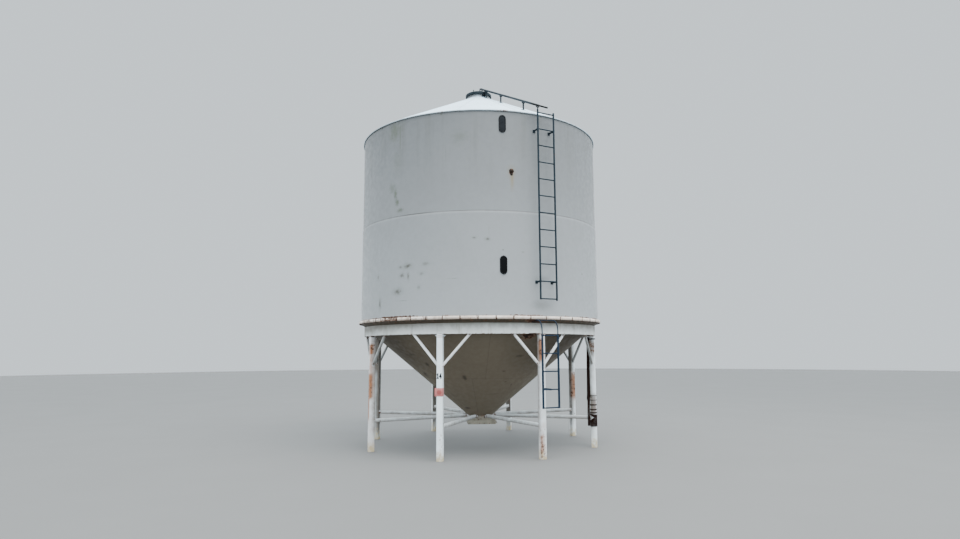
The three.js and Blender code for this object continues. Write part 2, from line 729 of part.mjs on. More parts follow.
const lowerBottomZ = LOWER_TOP_RUNG_Z - RUNG_PITCH * (LOWER_RUNGS - 1);
const stayZ = LOWER_TOP_RUNG_Z - RUNG_PITCH * STAY_RUNG;
add('lower_ladder', joined([
  ...[-LOWER_HALF_W, LOWER_HALF_W].map((t) => bar([t, LOWER_R, lowerBottomZ - RAIL_TAIL],
    [t, LOWER_R, LOWER_TOP_RUNG_Z + RAIL_TAIL], LOWER_RAIL_R, 10)),
  ...rungs(LOWER_RUNGS, LOWER_TOP_RUNG_Z, LOWER_R, LOWER_HALF_W),
  hanger(-1),
  hanger(1),
  block([-LOWER_HALF_W, CROSS_BAR_R, CROSS_BAR_TOP_Z - CROSS_BAR_W],
    [LOWER_HALF_W, CROSS_BAR_R + CROSS_BAR_W, CROSS_BAR_TOP_Z]),
  block([-STAY_HALF_W, LEG_R + LEG_W / 2 + FIT, stayZ - STAY_HALF_H],
    [STAY_HALF_W, LOWER_R, stayZ + STAY_HALF_H]),
]), ladderPaint, LOWER_AZ);

// Sight windows: an upright plate with round ends, bent to the wall behind

function sightWindow(z, wallR) {
  const radius = WINDOW_W / 2;
  const reach = WINDOW_H / 2 - radius;
  const outline = [
    ...circle(0, reach, radius, 12, 0, 180),
    ...circle(0, -reach, radius, 12, 180, 180),
  ];
  const shape = new THREE.Shape(outline.map(([t, h]) => new THREE.Vector2(t, h)));
  const face = wallR + WINDOW_T;
  const depth = 5 * WINDOW_T;
  const geometry = new THREE.ExtrudeGeometry(shape, { depth, bevelEnabled: false });
  geometry.rotateX(Math.PI / 2).translate(0, -face + depth, z);
  const wall = upright(new THREE.Shape(
    Array.from({ length: SIDES }, (_, i) => around(wallR + FIT, STEP * i - WINDOW_AZ))),
  z - WINDOW_H, z + WINDOW_H);
  return solidOf(geometry).subtract(wall);
}
add('sight_window_lower', sightWindow(WINDOW_Z.lower, WALL_R_LOWER), windowBlack, WINDOW_AZ);
add('sight_window_upper', sightWindow(WINDOW_Z.upper, WALL_R_UPPER), windowBlack, WINDOW_AZ);

export default silo;
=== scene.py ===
"""The finish of a hopper-bottom grain silo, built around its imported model.

All sizes are metres in the silo's own frame. An azimuth is in degrees, seen from above, from -Y
towards +X: a point at radius r and azimuth a lies at x = r sin a, y = -r cos a. A local point is
(sideways, outward, height) at an azimuth: x = t cos a + r sin a, y = t sin a - r cos a.
"""

import json
import math

import bpy
import numpy as np
from bpy.props import FloatProperty, FloatVectorProperty, IntProperty, PointerProperty
from bpy.types import Operator, Panel, PropertyGroup
from mathutils import Matrix, Vector


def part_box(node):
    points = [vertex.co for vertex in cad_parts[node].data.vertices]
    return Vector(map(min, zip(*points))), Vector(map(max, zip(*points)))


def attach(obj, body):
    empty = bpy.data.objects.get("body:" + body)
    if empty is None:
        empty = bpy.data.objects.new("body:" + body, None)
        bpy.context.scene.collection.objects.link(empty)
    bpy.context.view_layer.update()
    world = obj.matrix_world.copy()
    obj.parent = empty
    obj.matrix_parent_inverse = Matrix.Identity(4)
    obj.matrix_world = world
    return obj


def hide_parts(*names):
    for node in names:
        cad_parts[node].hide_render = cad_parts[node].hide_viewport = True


bl_info = {
    "name": "Grain silo finish",
    "version": (1, 0, 0),
    "blender": (4, 5, 0),
    "location": "3D View > Sidebar > Silo",
    "description": "Builds the finished pieces of a smooth-wall hopper-bottom grain silo",
    "category": "Object",
}

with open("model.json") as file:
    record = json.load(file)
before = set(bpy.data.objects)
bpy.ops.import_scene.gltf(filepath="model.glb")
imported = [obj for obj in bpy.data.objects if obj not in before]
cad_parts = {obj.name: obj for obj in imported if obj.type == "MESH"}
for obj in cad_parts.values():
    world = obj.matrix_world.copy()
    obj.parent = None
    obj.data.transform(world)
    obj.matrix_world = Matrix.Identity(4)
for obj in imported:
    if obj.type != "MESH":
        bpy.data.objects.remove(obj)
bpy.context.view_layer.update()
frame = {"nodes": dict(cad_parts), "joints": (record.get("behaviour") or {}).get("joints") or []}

LEGS = 8
LEG_TURN = 360 / LEGS


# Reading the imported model

def azimuth_of(point):
    return math.degrees(math.atan2(point[0], -point[1]))


def corner_points(node):
    """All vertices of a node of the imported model, as rows of x, y, z."""
    mesh = frame["nodes"][node].data
    flat = np.empty(len(mesh.vertices) * 3, np.float32)
    mesh.vertices.foreach_get("co", flat)
    return flat.reshape(-1, 3).astype(float)


def span(node, azimuth):
    """Lowest and highest local (sideways, outward, height) of a node at an azimuth."""
    x, y, z = corner_points(node).T
    a = math.radians(azimuth)
    local = np.stack([x * math.cos(a) + y * math.sin(a), x * math.sin(a) - y * math.cos(a), z], -1)
    return local.min(0), local.max(0)


def reach(node):
    """Lowest and highest (radius, height) of a node that runs round the axis."""
    x, y, z = corner_points(node).T
    polar = np.stack([np.hypot(x, y), z], -1)
    return polar.min(0), polar.max(0)


def joint_place(name):
    found = next(j for j in frame["joints"] if j["name"] == name)
    return np.array(found["pos_m"], float)


HINGE = joint_place("lid_hinge")
ROD_PIN = joint_place("rod_pivot")
ROD_AZ = azimuth_of(HINGE)
GATE_AXIS = next(j for j in frame["joints"] if j["name"] == "gate_slide")["axis"]
GATE_AZ = azimuth_of(GATE_AXIS)


# Points

def around(radius, azimuth, z):
    """x = r sin a, y = -r cos a, z, for arrays of one shape; the last axis is x, y, z."""
    a = np.radians(azimuth)
    return np.stack(np.broadcast_arrays(radius * np.sin(a), -radius * np.cos(a), z), -1)


def placed(points, azimuth):
    """Local points turned to an azimuth: x = t cos a + r sin a, y = t sin a - r cos a."""
    t, r, z = np.moveaxis(np.asarray(points, float), -1, 0)
    a = math.radians(azimuth)
    return np.stack([t * math.cos(a) + r * math.sin(a), t * math.sin(a) - r * math.cos(a), z], -1)


def circle(radius, sides, start=0.0, sweep=360.0):
    """Points (r cos a, r sin a) at even steps; a full circle doesn't repeat its first point."""
    whole = sweep == 360.0
    a = np.radians(start + sweep * np.arange(sides + (not whole)) / sides)
    return np.stack([radius * np.cos(a), radius * np.sin(a)], -1)


def soft_box(half_w, half_h, rounding, steps=3):
    """A rectangle whose corners are quarter circles, as (across, up) points."""
    centres = [(1, 1, 0), (-1, 1, 90), (-1, -1, 180), (1, -1, 270)]
    quarters = [
        circle(rounding, steps, start, 90.0) + [x * (half_w - rounding), y * (half_h - rounding)]
        for x, y, start in centres
    ]
    return np.concatenate(quarters)


def obround(radius, reach_up, steps=14):
    """Two half circles joined by straight sides, taller than wide."""
    top = circle(radius, steps, 0.0, 180.0) + [0, reach_up]
    bottom = circle(radius, steps, 180.0, 180.0) - [0, reach_up]
    return np.concatenate([top, bottom])


def smooth_step(low, high, value):
    """0 below low, 1 above high and 3u^2 - 2u^3 between them, whichever end is larger."""
    u = np.clip((np.asarray(value, float) - low) / (high - low), 0, 1)
    return u * u * (3 - 2 * u)


def hump(centre, half_width, value):
    """A bell exp(-((value - centre) / half_width)^2)."""
    return np.exp(-((np.asarray(value, float) - centre) / half_width) ** 2)


def turn_apart(a, b):
    """Degrees from b to a, wrapped to -180..180."""
    return (np.asarray(a, float) - b + 180) % 360 - 180


# Closed bodies: each gives points, quads and end caps

def lofted(rings, closed=False):
    """Rings of points (ring, point, xyz): quads join neighbours, and the two ends are capped
    unless the last ring joins the first."""
    count, size = rings.shape[:2]
    i, j = np.meshgrid(np.arange(count if closed else count - 1), np.arange(size), indexing="ij")
    k = (i + 1) % count
    m = (j + 1) % size
    quads = np.stack([i * size + j, i * size + m, k * size + m, k * size + j], -1).reshape(-1, 4)
    last = (count - 1) * size
    caps = [] if closed else [np.arange(size)[::-1], last + np.arange(size)]
    return rings.reshape(-1, 3), quads, caps


def hoop(profile, azimuths, relief=None):
    """A closed (radius, height) profile carried round the axis. relief(azimuth, z, r) moves its
    points outwards: r' = r + relief."""
    r, z = np.asarray(profile, float).T
    a = np.asarray(azimuths, float)[:, None]
    r = np.broadcast_to(r, (len(a), len(r)))
    z = np.broadcast_to(z, r.shape)
    moved = r + (relief(a, z, r) if relief else 0)
    return lofted(around(moved, a, z), closed=True)


def spun(profile, sides, centre=(0, 0, 0), axis=(0, 0, 1), start=0.0):
    """(radius, along) points turned round an axis through centre, flat at both ends."""
    axis = np.array(axis, float) / np.linalg.norm(axis)
    side = np.cross(axis, (0, 0, 1) if abs(axis[2]) < 0.9 else (1, 0, 0))
    side /= np.linalg.norm(side)
    other = np.cross(axis, side)
    round_it = circle(1.0, sides, start)
    radius, along = np.asarray(profile, float).T
    flat = round_it[:, :1] * side + round_it[:, 1:] * other
    rings = np.array(centre) + radius[:, None, None] * flat + along[:, None, None] * axis
    return lofted(rings)


def carried(path, outline, up=(0, 0, 1), closed=False, sizes=None):
    """An (across, up) outline set square to each point of a path. across = along x up, and sizes
    scales the outline at each point."""
    path = np.asarray(path, float)
    if closed:
        along = np.roll(path, -1, 0) - np.roll(path, 1, 0)
    else:
        along = np.gradient(path, axis=0)
    along /= np.linalg.norm(along, axis=1, keepdims=True)
    across = np.cross(along, np.broadcast_to(np.asarray(up, float), along.shape))
    across /= np.linalg.norm(across, axis=1, keepdims=True)
    raised = np.cross(across, along)
    size = np.ones(len(path)) if sizes is None else np.asarray(sizes, float)
    a = outline[None, :, :1] * size[:, None, None]
    b = outline[None, :, 1:] * size[:, None, None]
    rings = path[:, None] + a * across[:, None] + b * raised[:, None]
    return lofted(rings, closed)


def bar(start, end, outline, up=(0, 0, 1), ease=0.0, stations=(0.0, 1.0)):
    """A straight bar with both ends eased: the outline is narrowed by ease over the last ease of
    its length. stations are shares of the length where it has rings."""
    start = np.asarray(start, float)
    end = np.asarray(end, float)
    length = np.linalg.norm(end - start)
    shares = np.asarray(stations, float)
    sizes = np.ones(len(shares))
    if ease:
        edge = ease / length
        inner = shares[(shares > 1.5 * edge) & (shares < 1 - 1.5 * edge)]
        shares = np.concatenate([[0.0, edge], inner, [1 - edge, 1.0]])
        sizes = np.ones(len(shares))
        sizes[[0, -1]] = 1 - ease / np.abs(outline).max()
    path = start + shares[:, None] * (end - start)
    return carried(path, outline, up, sizes=sizes)


def cut_level(body, size, axis, height, which):
    """Slides the first or last ring of a bar along its axis until it lies level at a height."""
    points, quads, caps = body
    rings = points.reshape(-1, size, 3).copy()
    axis = np.asarray(axis, float)
    rings[which] += (height - rings[which][:, 2])[:, None] / axis[2] * axis
    return rings.reshape(-1, 3), quads, caps


def stacked(loops, closed=False):
    """A body of (sideways place, loop of outward and height) pairs, one ring for each."""
    rings = [np.column_stack([np.full(len(loop), t), loop]) for t, loop in loops]
    return lofted(np.array(rings), closed)


def eye(half, hole, radius, centre, sides):
    """A short tube that lies across an azimuth, round a pin at (outward, height) centre."""
    corners = ((-half, hole), (-half, radius), (half, radius), (half, hole))
    return stacked([(t, circle(size, sides) + centre) for t, size in corners], closed=True)


def polar(body):
    """Azimuth, radius and height of each of a body's points."""
    x, y, z = np.moveaxis(body[0], -1, 0)
    return np.degrees(np.arctan2(x, -y)), np.hypot(x, y), z


def outward_volume(points, quads, caps):
    """Sum of a . (b x c) / 6 over the triangles of each face: positive if faces point out."""
    triangles = [quads[:, [0, 1, 2]], quads[:, [0, 2, 3]]]
    for cap in caps:
        first = np.full(len(cap) - 2, cap[0])
        triangles.append(np.stack([first, cap[1:-1], cap[2:]], -1))
    a, b, c = np.moveaxis(points[np.concatenate(triangles)], 1, 0)
    return np.einsum("ij,ij->i", a, np.cross(b, c)).sum() / 6


class Shape:
    """Closed bodies gathered into one mesh, with values kept at their vertices."""

    def __init__(self, *value_names):
        self.points = []
        self.faces = []
        self.slots = []
        self.values = {name: [] for name in value_names}
        self.total = 0

    def add(self, body, azimuth=None, slot=0, **values):
        """Takes a body in, turned to an azimuth if one is given, with its faces outwards. Each
        value is one number, an array, or a function of the body's own local points."""
        local, quads, caps = body
        points = local if azimuth is None else placed(local, azimuth)
        if outward_volume(points, quads, caps) < 0:
            quads = quads[:, ::-1]
            caps = [cap[::-1] for cap in caps]
        self.points.append(points)
        self.faces += (quads + self.total).tolist() + [(cap + self.total).tolist() for cap in caps]
        self.slots += [slot] * (len(quads) + len(caps))
        for name, kept in self.values.items():
            value = values.get(name, 0.0)
            if callable(value):
                value = value(*np.moveaxis(local, -1, 0))
            kept.append(np.broadcast_to(np.asarray(value, float), len(points)))
        self.total += len(points)

    def build(self, name, materials, body, replaces, sharp=35.0):
        """Makes the object at the origin, lets it ride on its body and stand for its nodes."""
        mesh = bpy.data.meshes.new(name)
        mesh.from_pydata(np.concatenate(self.points), [], self.faces)
        for material in materials:
            mesh.materials.append(material)
        mesh.polygons.foreach_set("material_index", self.slots)
        for value_name, kept in self.values.items():
            attribute = mesh.attributes.new(value_name, "FLOAT", "POINT")
            attribute.data.foreach_set("value", np.concatenate(kept).astype(np.float32))
        mesh.shade_smooth()
        mesh.set_sharp_from_angle(angle=math.radians(sharp))
        mesh.validate()
        mesh.update()
        piece = bpy.data.objects.new(name, mesh)
        bpy.context.scene.collection.objects.link(piece)
        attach(piece, body)
        if replaces:
            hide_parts(*replaces)
        return piece


def bolt(shape, centre, axis, head, slot=0, **values):
    """A washer and a six-sided head, standing on centre along axis; head is its half width."""
    washer = [(head * 1.45, 0.0), (head * 1.45, head * 0.22), (head * 1.3, head * 0.3)]
    nut = [(head, head * 0.2), (head, head * 0.85), (head * 0.8, head * 1.05)]
    shape.add(spun(washer, 12, centre, axis), slot=slot, **values)
    shape.add(spun(nut, 6, centre, axis), slot=slot, **values)


def bead(shape, path, radius, azimuth=None, closed=False, up=(0, 0, 1), **values):
    """A weld bead: a small round section whose size swells and shrinks along its path."""
    path = np.asarray(path, float)
    swell = 1 + 0.16 * np.sin(np.arange(len(path)) * 2.4) + 0.1 * np.sin(np.arange(len(path)) * 5.3)
    body = carried(path, circle(radius, 6), up, closed, swell)
    shape.add(body, azimuth, **values)


def resampled(path, step, closed=False):
    """A path with a point about every step of its length, by straight interpolation."""
    path = np.asarray(path, float)
    if closed:
        path = np.concatenate([path, path[:1]])
    lengths = np.concatenate([[0], np.cumsum(np.linalg.norm(np.diff(path, axis=0), axis=1))])
    count = max(int(round(lengths[-1] / step)), 3)
    where = np.linspace(0, lengths[-1], count + 1)[: count if closed else None]
    return np.stack([np.interp(where, lengths, path[:, i]) for i in range(3)], -1)


def softened(name, node, width, material, body):
    """A copy of a node with its doubles merged and every sharp edge given a small round."""
    mesh = frame["nodes"][node].data.copy()
    mesh.name = name
    piece = bpy.data.objects.new(name, mesh)
    bpy.context.scene.collection.objects.link(piece)
    mesh.materials.clear()
    mesh.materials.append(material)
    weld = piece.modifiers.new("weld", "WELD")
    weld.merge_threshold = 0.00002
    flat = piece.modifiers.new("flat", "DECIMATE")
    flat.decimate_type = "DISSOLVE"
    flat.angle_limit = math.radians(1.0)
    round_off = piece.modifiers.new("round", "BEVEL")
    round_off.width = width
    round_off.segments = 2
    round_off.limit_method = "ANGLE"
    round_off.angle_limit = math.radians(30)
    round_off.harden_normals = False
    graph = bpy.context.evaluated_depsgraph_get()
    done = bpy.data.meshes.new_from_object(piece.evaluated_get(graph))
    piece.modifiers.clear()
    piece.data = done
    done.name = name
    done.shade_smooth()
    done.set_sharp_from_angle(angle=math.radians(35))
    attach(piece, body)
    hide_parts(node)
    return piece


# Shader nodes

def opaque(colour):
    """A colour of three numbers with full alpha; a socket stays as it is."""
    return colour if isinstance(colour, bpy.types.NodeSocket) else (*colour[:3], 1)


def scaled_colour(colour, factor, lift=0.0):
    return tuple(factor * c + lift for c in colour)


class Net:
    """Short ways of adding and wiring nodes in one tree."""

    def __init__(self, tree):
        self.tree = tree

    def node(self, kind, inputs=None, **settings):
        """Adds a node. settings are its properties; inputs are its sockets' values or links."""
        made = self.tree.nodes.new("ShaderNode" + kind)
        for key, value in settings.items():
            setattr(made, key, value)
        for key, value in (inputs or {}).items():
            if isinstance(value, bpy.types.NodeSocket):
                self.tree.links.new(value, made.inputs[key])
            else:
                made.inputs[key].default_value = value
        return made

    def maths(self, operation, a, b=0.0, clamp=False):
        return self.node("Math", {0: a, 1: b}, operation=operation, use_clamp=clamp).outputs[0]

    def times(self, a, b):
        return self.maths("MULTIPLY", a, b)

    def plus(self, a, b):
        return self.maths("ADD", a, b)

    def minus(self, a, b):
        return self.maths("SUBTRACT", a, b)

    def largest(self, masks):
        top = masks[0]
        for mask in masks[1:]:
            top = self.maths("MAXIMUM", top, mask)
        return top

    def steps(self, value, low, high, to_low=0.0, to_high=1.0):
        """Smoothly from to_low at low to to_high at high."""
        inputs = {"Value": value, "From Min": low, "From Max": high, "To Min": to_low, "To Max": to_high}
        return self.node("MapRange", inputs, interpolation_type="SMOOTHSTEP").outputs[0]

    def blend(self, share, a, b, kind="MIX"):
        inputs = {0: share, 6: opaque(a), 7: opaque(b)}
        return self.node("Mix", inputs, data_type="RGBA", blend_type=kind).outputs[2]

    def noise(self, vector, scale, detail=3.0, roughness=0.55):
        inputs = {"Vector": vector, "Scale": scale, "Detail": detail, "Roughness": roughness}
        return self.node("TexNoise", inputs).outputs["Fac"]

    def scaled(self, vector, scale):
        return self.node("VectorMath", {0: vector, 1: scale}, operation="MULTIPLY").outputs[0]

    def height_of(self, vector):
        return self.node("SeparateXYZ", {0: vector}).outputs[2]

    def value(self, name):
        return self.node("Attribute", attribute_name=name).outputs["Fac"]

    def object_place(self):
        return self.node("TexCoord").outputs["Object"]


# Kinds of the groups' sockets; the others are plain values
SOCKETS = {"Vector": "NodeSocketVector", "Place": "NodeSocketVector", "Paint": "NodeSocketColor",
           "Worn": "NodeSocketColor", "Color": "NodeSocketColor"}


def effect(name, inputs, outputs):
    """Makes a shared node group of wire(net, given), which gives the output sockets by name. The
    result takes a net and the inputs in order, places the group, which is built once, and gives
    its outputs."""
    def shared(wire):
        def place_group(net, *values):
            if name not in bpy.data.node_groups:
                tree = bpy.data.node_groups.new(name, "ShaderNodeTree")
                for way, sockets in (("INPUT", inputs), ("OUTPUT", outputs)):
                    for socket in sockets:
                        kind = SOCKETS.get(socket, "NodeSocketFloat")
                        tree.interface.new_socket(socket, in_out=way, socket_type=kind)
                source = tree.nodes.new("NodeGroupInput")
                sink = tree.nodes.new("NodeGroupOutput")
                for socket, made in wire(Net(tree), source.outputs).items():
                    tree.links.new(made, sink.inputs[socket])
            group = bpy.data.node_groups[name]
            return net.node("Group", dict(zip(inputs, values)), node_tree=group).outputs
        return place_group
    return shared


@effect("sprayed coat", ("Vector", "Paint", "Worn", "Patch scale", "Unevenness"),
        ("Color", "Roughness", "Height"))
def sprayed_coat(net, given):
    """Old sprayed paint: broad uneven patches, a finer mottle and a slight orange-peel height."""
    broad = net.noise(given["Vector"], given["Patch scale"], 4.0, 0.6)
    fine = net.noise(given["Vector"], 11.0, 4.0, 0.6)
    share = net.steps(net.plus(net.times(broad, 0.7), net.times(fine, 0.3)), 0.36, 0.64)
    colour = net.blend(net.times(share, given["Unevenness"]), given["Paint"], given["Worn"])
    rough = net.steps(fine, 0.3, 0.7, 0.5, 0.72)
    return {"Color": colour, "Roughness": rough, "Height": net.noise(given["Vector"], 140.0, 2.0)}


@effect("rain streaks", ("Vector", "Density", "Draw", "Share"), ("Mask",))
def rain_streaks(net, given):
    """Upright runs: noise squeezed sideways and drawn out in height, cut at the wanted share."""
    squeeze = net.node("CombineXYZ", {0: given["Density"], 1: given["Density"], 2: given["Draw"]})
    run = net.noise(net.scaled(given["Vector"], squeeze.outputs[0]), 1.0, 4.0, 0.6)
    low = net.minus(0.72, given["Share"])
    return {"Mask": net.steps(run, low, net.plus(low, 0.16))}


@effect("rust bloom", ("Vector", "Cover", "Scale"), ("Mask", "Halo", "Color", "Height"))
def rust_bloom(net, given):
    """Rust where cover exceeds a noise: mask = smooth(1.25 cover - noise - 0.1), dark in the
    middle and orange at the rim. Halo is the same with a wide soft edge, for the stain round it."""
    raw = net.noise(given["Vector"], given["Scale"], 6.0, 0.68)
    over = net.minus(net.minus(net.times(given["Cover"], 1.25), net.steps(raw, 0.32, 0.68)), 0.1)
    mask = net.steps(over, -0.05, 0.10)
    tone = net.noise(given["Vector"], net.times(given["Scale"], 2.3), 4.0, 0.6)
    ramp = net.node("ValToRGB", {0: net.plus(net.times(over, 0.55), net.times(tone, 0.75))})
    rim, core = ramp.color_ramp.elements
    rim.position = 0.22
    rim.color = (0.20, 0.095, 0.048, 1)
    core.position = 0.82
    core.color = (0.014, 0.0085, 0.0075, 1)
    middle = ramp.color_ramp.elements.new(0.48)
    middle.color = (0.068, 0.028, 0.015, 1)
    halo = net.times(net.steps(over, -0.42, 0.05), net.steps(given["Cover"], 0.05, 0.4))
    height = net.times(mask, net.plus(raw, 0.4))
    return {"Mask": mask, "Halo": halo, "Color": ramp.outputs[0], "Height": height}


@effect("ragged spot", ("Place", "Noise", "Torn", "Core"), ("Mask", "Halo"))
def ragged_spot(net, given):
    """A spot with a torn rim: 1 inside, 0 outside a unit ball, its radius shifted by noise. Halo
    fades out to about twice the ball."""
    far = net.node("VectorMath", {0: given["Place"]}, operation="LENGTH").outputs["Value"]
    torn = net.plus(far, net.times(net.minus(given["Noise"], 0.5), given["Torn"]))
    return {"Mask": net.steps(torn, 1.0, given["Core"]), "Halo": net.steps(torn, 2.2, 0.3)}


@effect("ground dirt", ("Vector", "Height"), ("Mask",))
def ground_dirt(net, given):
    """Splashed soil: 1 at the ground, fading to 0 at a height that noise makes uneven."""
    uneven = net.minus(net.noise(given["Vector"], 14.0, 5.0, 0.65), 0.5)
    lift = net.times(uneven, net.times(given["Height"], 2.6))
    return {"Mask": net.steps(net.plus(net.height_of(given["Vector"]), lift), given["Height"], 0.0)}


@effect("scattered chips", ("Vector", "Scale", "Share"), ("Mask",))
def scattered_chips(net, given):
    """Small chips: cells whose random value is under the share, each cut to a torn disc."""
    warp = net.noise(given["Vector"], 60.0, 2.0)
    cells = net.node("TexVoronoi", {"Vector": given["Vector"], "Scale": given["Scale"]}).outputs
    pick = net.node("SeparateColor", {0: cells["Color"]}).outputs[0]
    disc = net.steps(net.plus(cells["Distance"], net.times(warp, 0.35)), 0.42, 0.3)
    return {"Mask": net.times(net.maths("LESS_THAN", pick, given["Share"]), disc)}


@effect("worn edge", ("Vector", "Wear", "Amount"), ("Mask",))
def worn_edge(net, given):
    """Bare edges: a vertex value that is 1 at the edges, broken up by noise."""
    torn = net.noise(given["Vector"], 38.0, 4.0, 0.7)
    level = net.plus(given["Wear"], net.minus(torn, 0.5))
    return {"Mask": net.steps(level, net.minus(1.18, given["Amount"]), 1.22)}


def new_material(name, metallic=0.0, specular=0.4):
    """A material with its Principled shader's steady values set; gives it, its net, its shader
    and the net's Object coordinates."""
    material = bpy.data.materials.new(name)
    material.use_nodes = True
    net = Net(material.node_tree)
    shader = material.node_tree.nodes["Principled BSDF"]
    shader.inputs["Metallic"].default_value = metallic
    shader.inputs["Specular IOR Level"].default_value = specular
    return material, net, shader, net.object_place()


def finish_surface(net, shader, colour, rough, height, strength):
    bump = net.node("Bump", {"Height": height, "Strength": strength, "Distance": 0.002})
    net.tree.links.new(colour, shader.inputs["Base Color"])
    net.tree.links.new(rough, shader.inputs["Roughness"])
    net.tree.links.new(bump.outputs["Normal"], shader.inputs["Normal"])


def spot_mask(net, place, noise, azimuth, radius, z, half_w, half_h, torn=0.9, core=0.45,
              output="Mask"):
    """A torn spot on a round wall: a Mapping node sets its centre, facing and half sizes."""
    mapping = net.node("Mapping", {"Vector": place}, vector_type="TEXTURE")
    mapping.inputs["Location"].default_value = around(radius, azimuth, z)
    mapping.inputs["Rotation"].default_value = (0, 0, math.radians(azimuth))
    mapping.inputs["Scale"].default_value = (half_w, 0.25, half_h)
    return ragged_spot(net, mapping.outputs[0], noise, torn, core)[output]


def spots(net, place, noise, marks, radius_at, torn, core, output="Mask"):
    """The strongest of many torn spots on a round wall whose radius at a height is known."""
    masks = []
    for azimuth, z, half_w, half_h, strength in marks:
        sizes = (azimuth, radius_at(z), z, half_w, half_h)
        masks.append(net.times(spot_mask(net, place, noise, *sizes, torn, core, output), strength))
    return net.largest(masks)


def rust_cover(net, place, cover, scale, colour, rough, height):
    """Lays rust over a finish, with a stain round it, and gives the new colour, roughness and
    height."""
    rust = rust_bloom(net, place, cover, scale)
    colour = net.blend(net.times(rust["Halo"], 0.5), colour, (0.27, 0.155, 0.105))
    colour = net.blend(rust["Mask"], colour, rust["Color"])
    rough = net.maths("MAXIMUM", rough, net.times(rust["Mask"], 0.9))
    return colour, rough, net.plus(height, net.times(rust["Height"], 0.8))


# Marks on the barrel: azimuth, height, half width, half height, strength
GREEN_MARKS = (
    (-23.5, 5.93, 0.24, 0.30, 0.6), (-22.3, 4.74, 0.07, 0.16, 0.8), (-21.3, 4.56, 0.07, 0.11, 0.85),
    (-19.6, 4.40, 0.11, 0.06, 0.8), (-24.5, 4.85, 0.14, 0.14, 0.45), (9.0, 5.63, 0.22, 0.18, 0.3),
    (-21.5, 5.3, 0.16, 0.34, 0.25),
)
CHIP_MARKS = (
    (-14.8, 3.355, 0.09, 0.045, 0.85), (-18.6, 3.35, 0.05, 0.03, 0.6), (-5.7, 3.38, 0.08, 0.035, 0.35),
    (-17.7, 3.195, 0.06, 0.045, 0.6), (-14.3, 3.19, 0.025, 0.08, 0.6), (-7.8, 3.21, 0.06, 0.035, 0.4),
    (-33.8, 3.22, 0.025, 0.06, 0.6), (-20.2, 2.915, 0.10, 0.055, 0.8), (-8.9, 2.97, 0.04, 0.04, 0.35),
    (-32.2, 2.72, 0.035, 0.11, 0.75), (15.1, 3.807, 0.04, 0.02, 0.6), (20.5, 3.779, 0.04, 0.025, 0.9),
    (27.0, 3.594, 0.014, 0.012, 0.7), (35.6, 3.566, 0.03, 0.012, 0.4), (69.6, 3.27, 0.016, 0.012, 0.8),
    (6.5, 3.10, 0.09, 0.006, 0.5), (-17.1, 2.746, 0.10, 0.006, 0.45), (1.0, 6.08, 0.02, 0.02, 0.8),
    (128.0, 3.3, 0.06, 0.04, 0.7), (212.0, 2.9, 0.07, 0.05, 0.7), (262.0, 3.6, 0.04, 0.06, 0.6),
)
LINE_MARKS = (
    (-19.8, 5.75, 0.012, 0.36, 0.7), (-18.3, 5.96, 0.007, 0.14, 0.4), (3.1, 5.34, 0.007, 0.20, 0.4),
    (4.9, 5.36, 0.005, 0.15, 0.25), (21.2, 3.93, 0.004, 0.12, 0.5), (56.7, 5.16, 0.005, 0.10, 0.3),
    (150.0, 5.6, 0.007, 0.3, 0.4), (232.0, 5.5, 0.008, 0.35, 0.45),
)
GREY_MARKS = ((44.1, 2.64, 0.30, 0.13, 0.4), (43.0, 5.35, 0.20, 0.5, 0.25), (44.0, 3.1, 0.24, 0.10, 0.4))


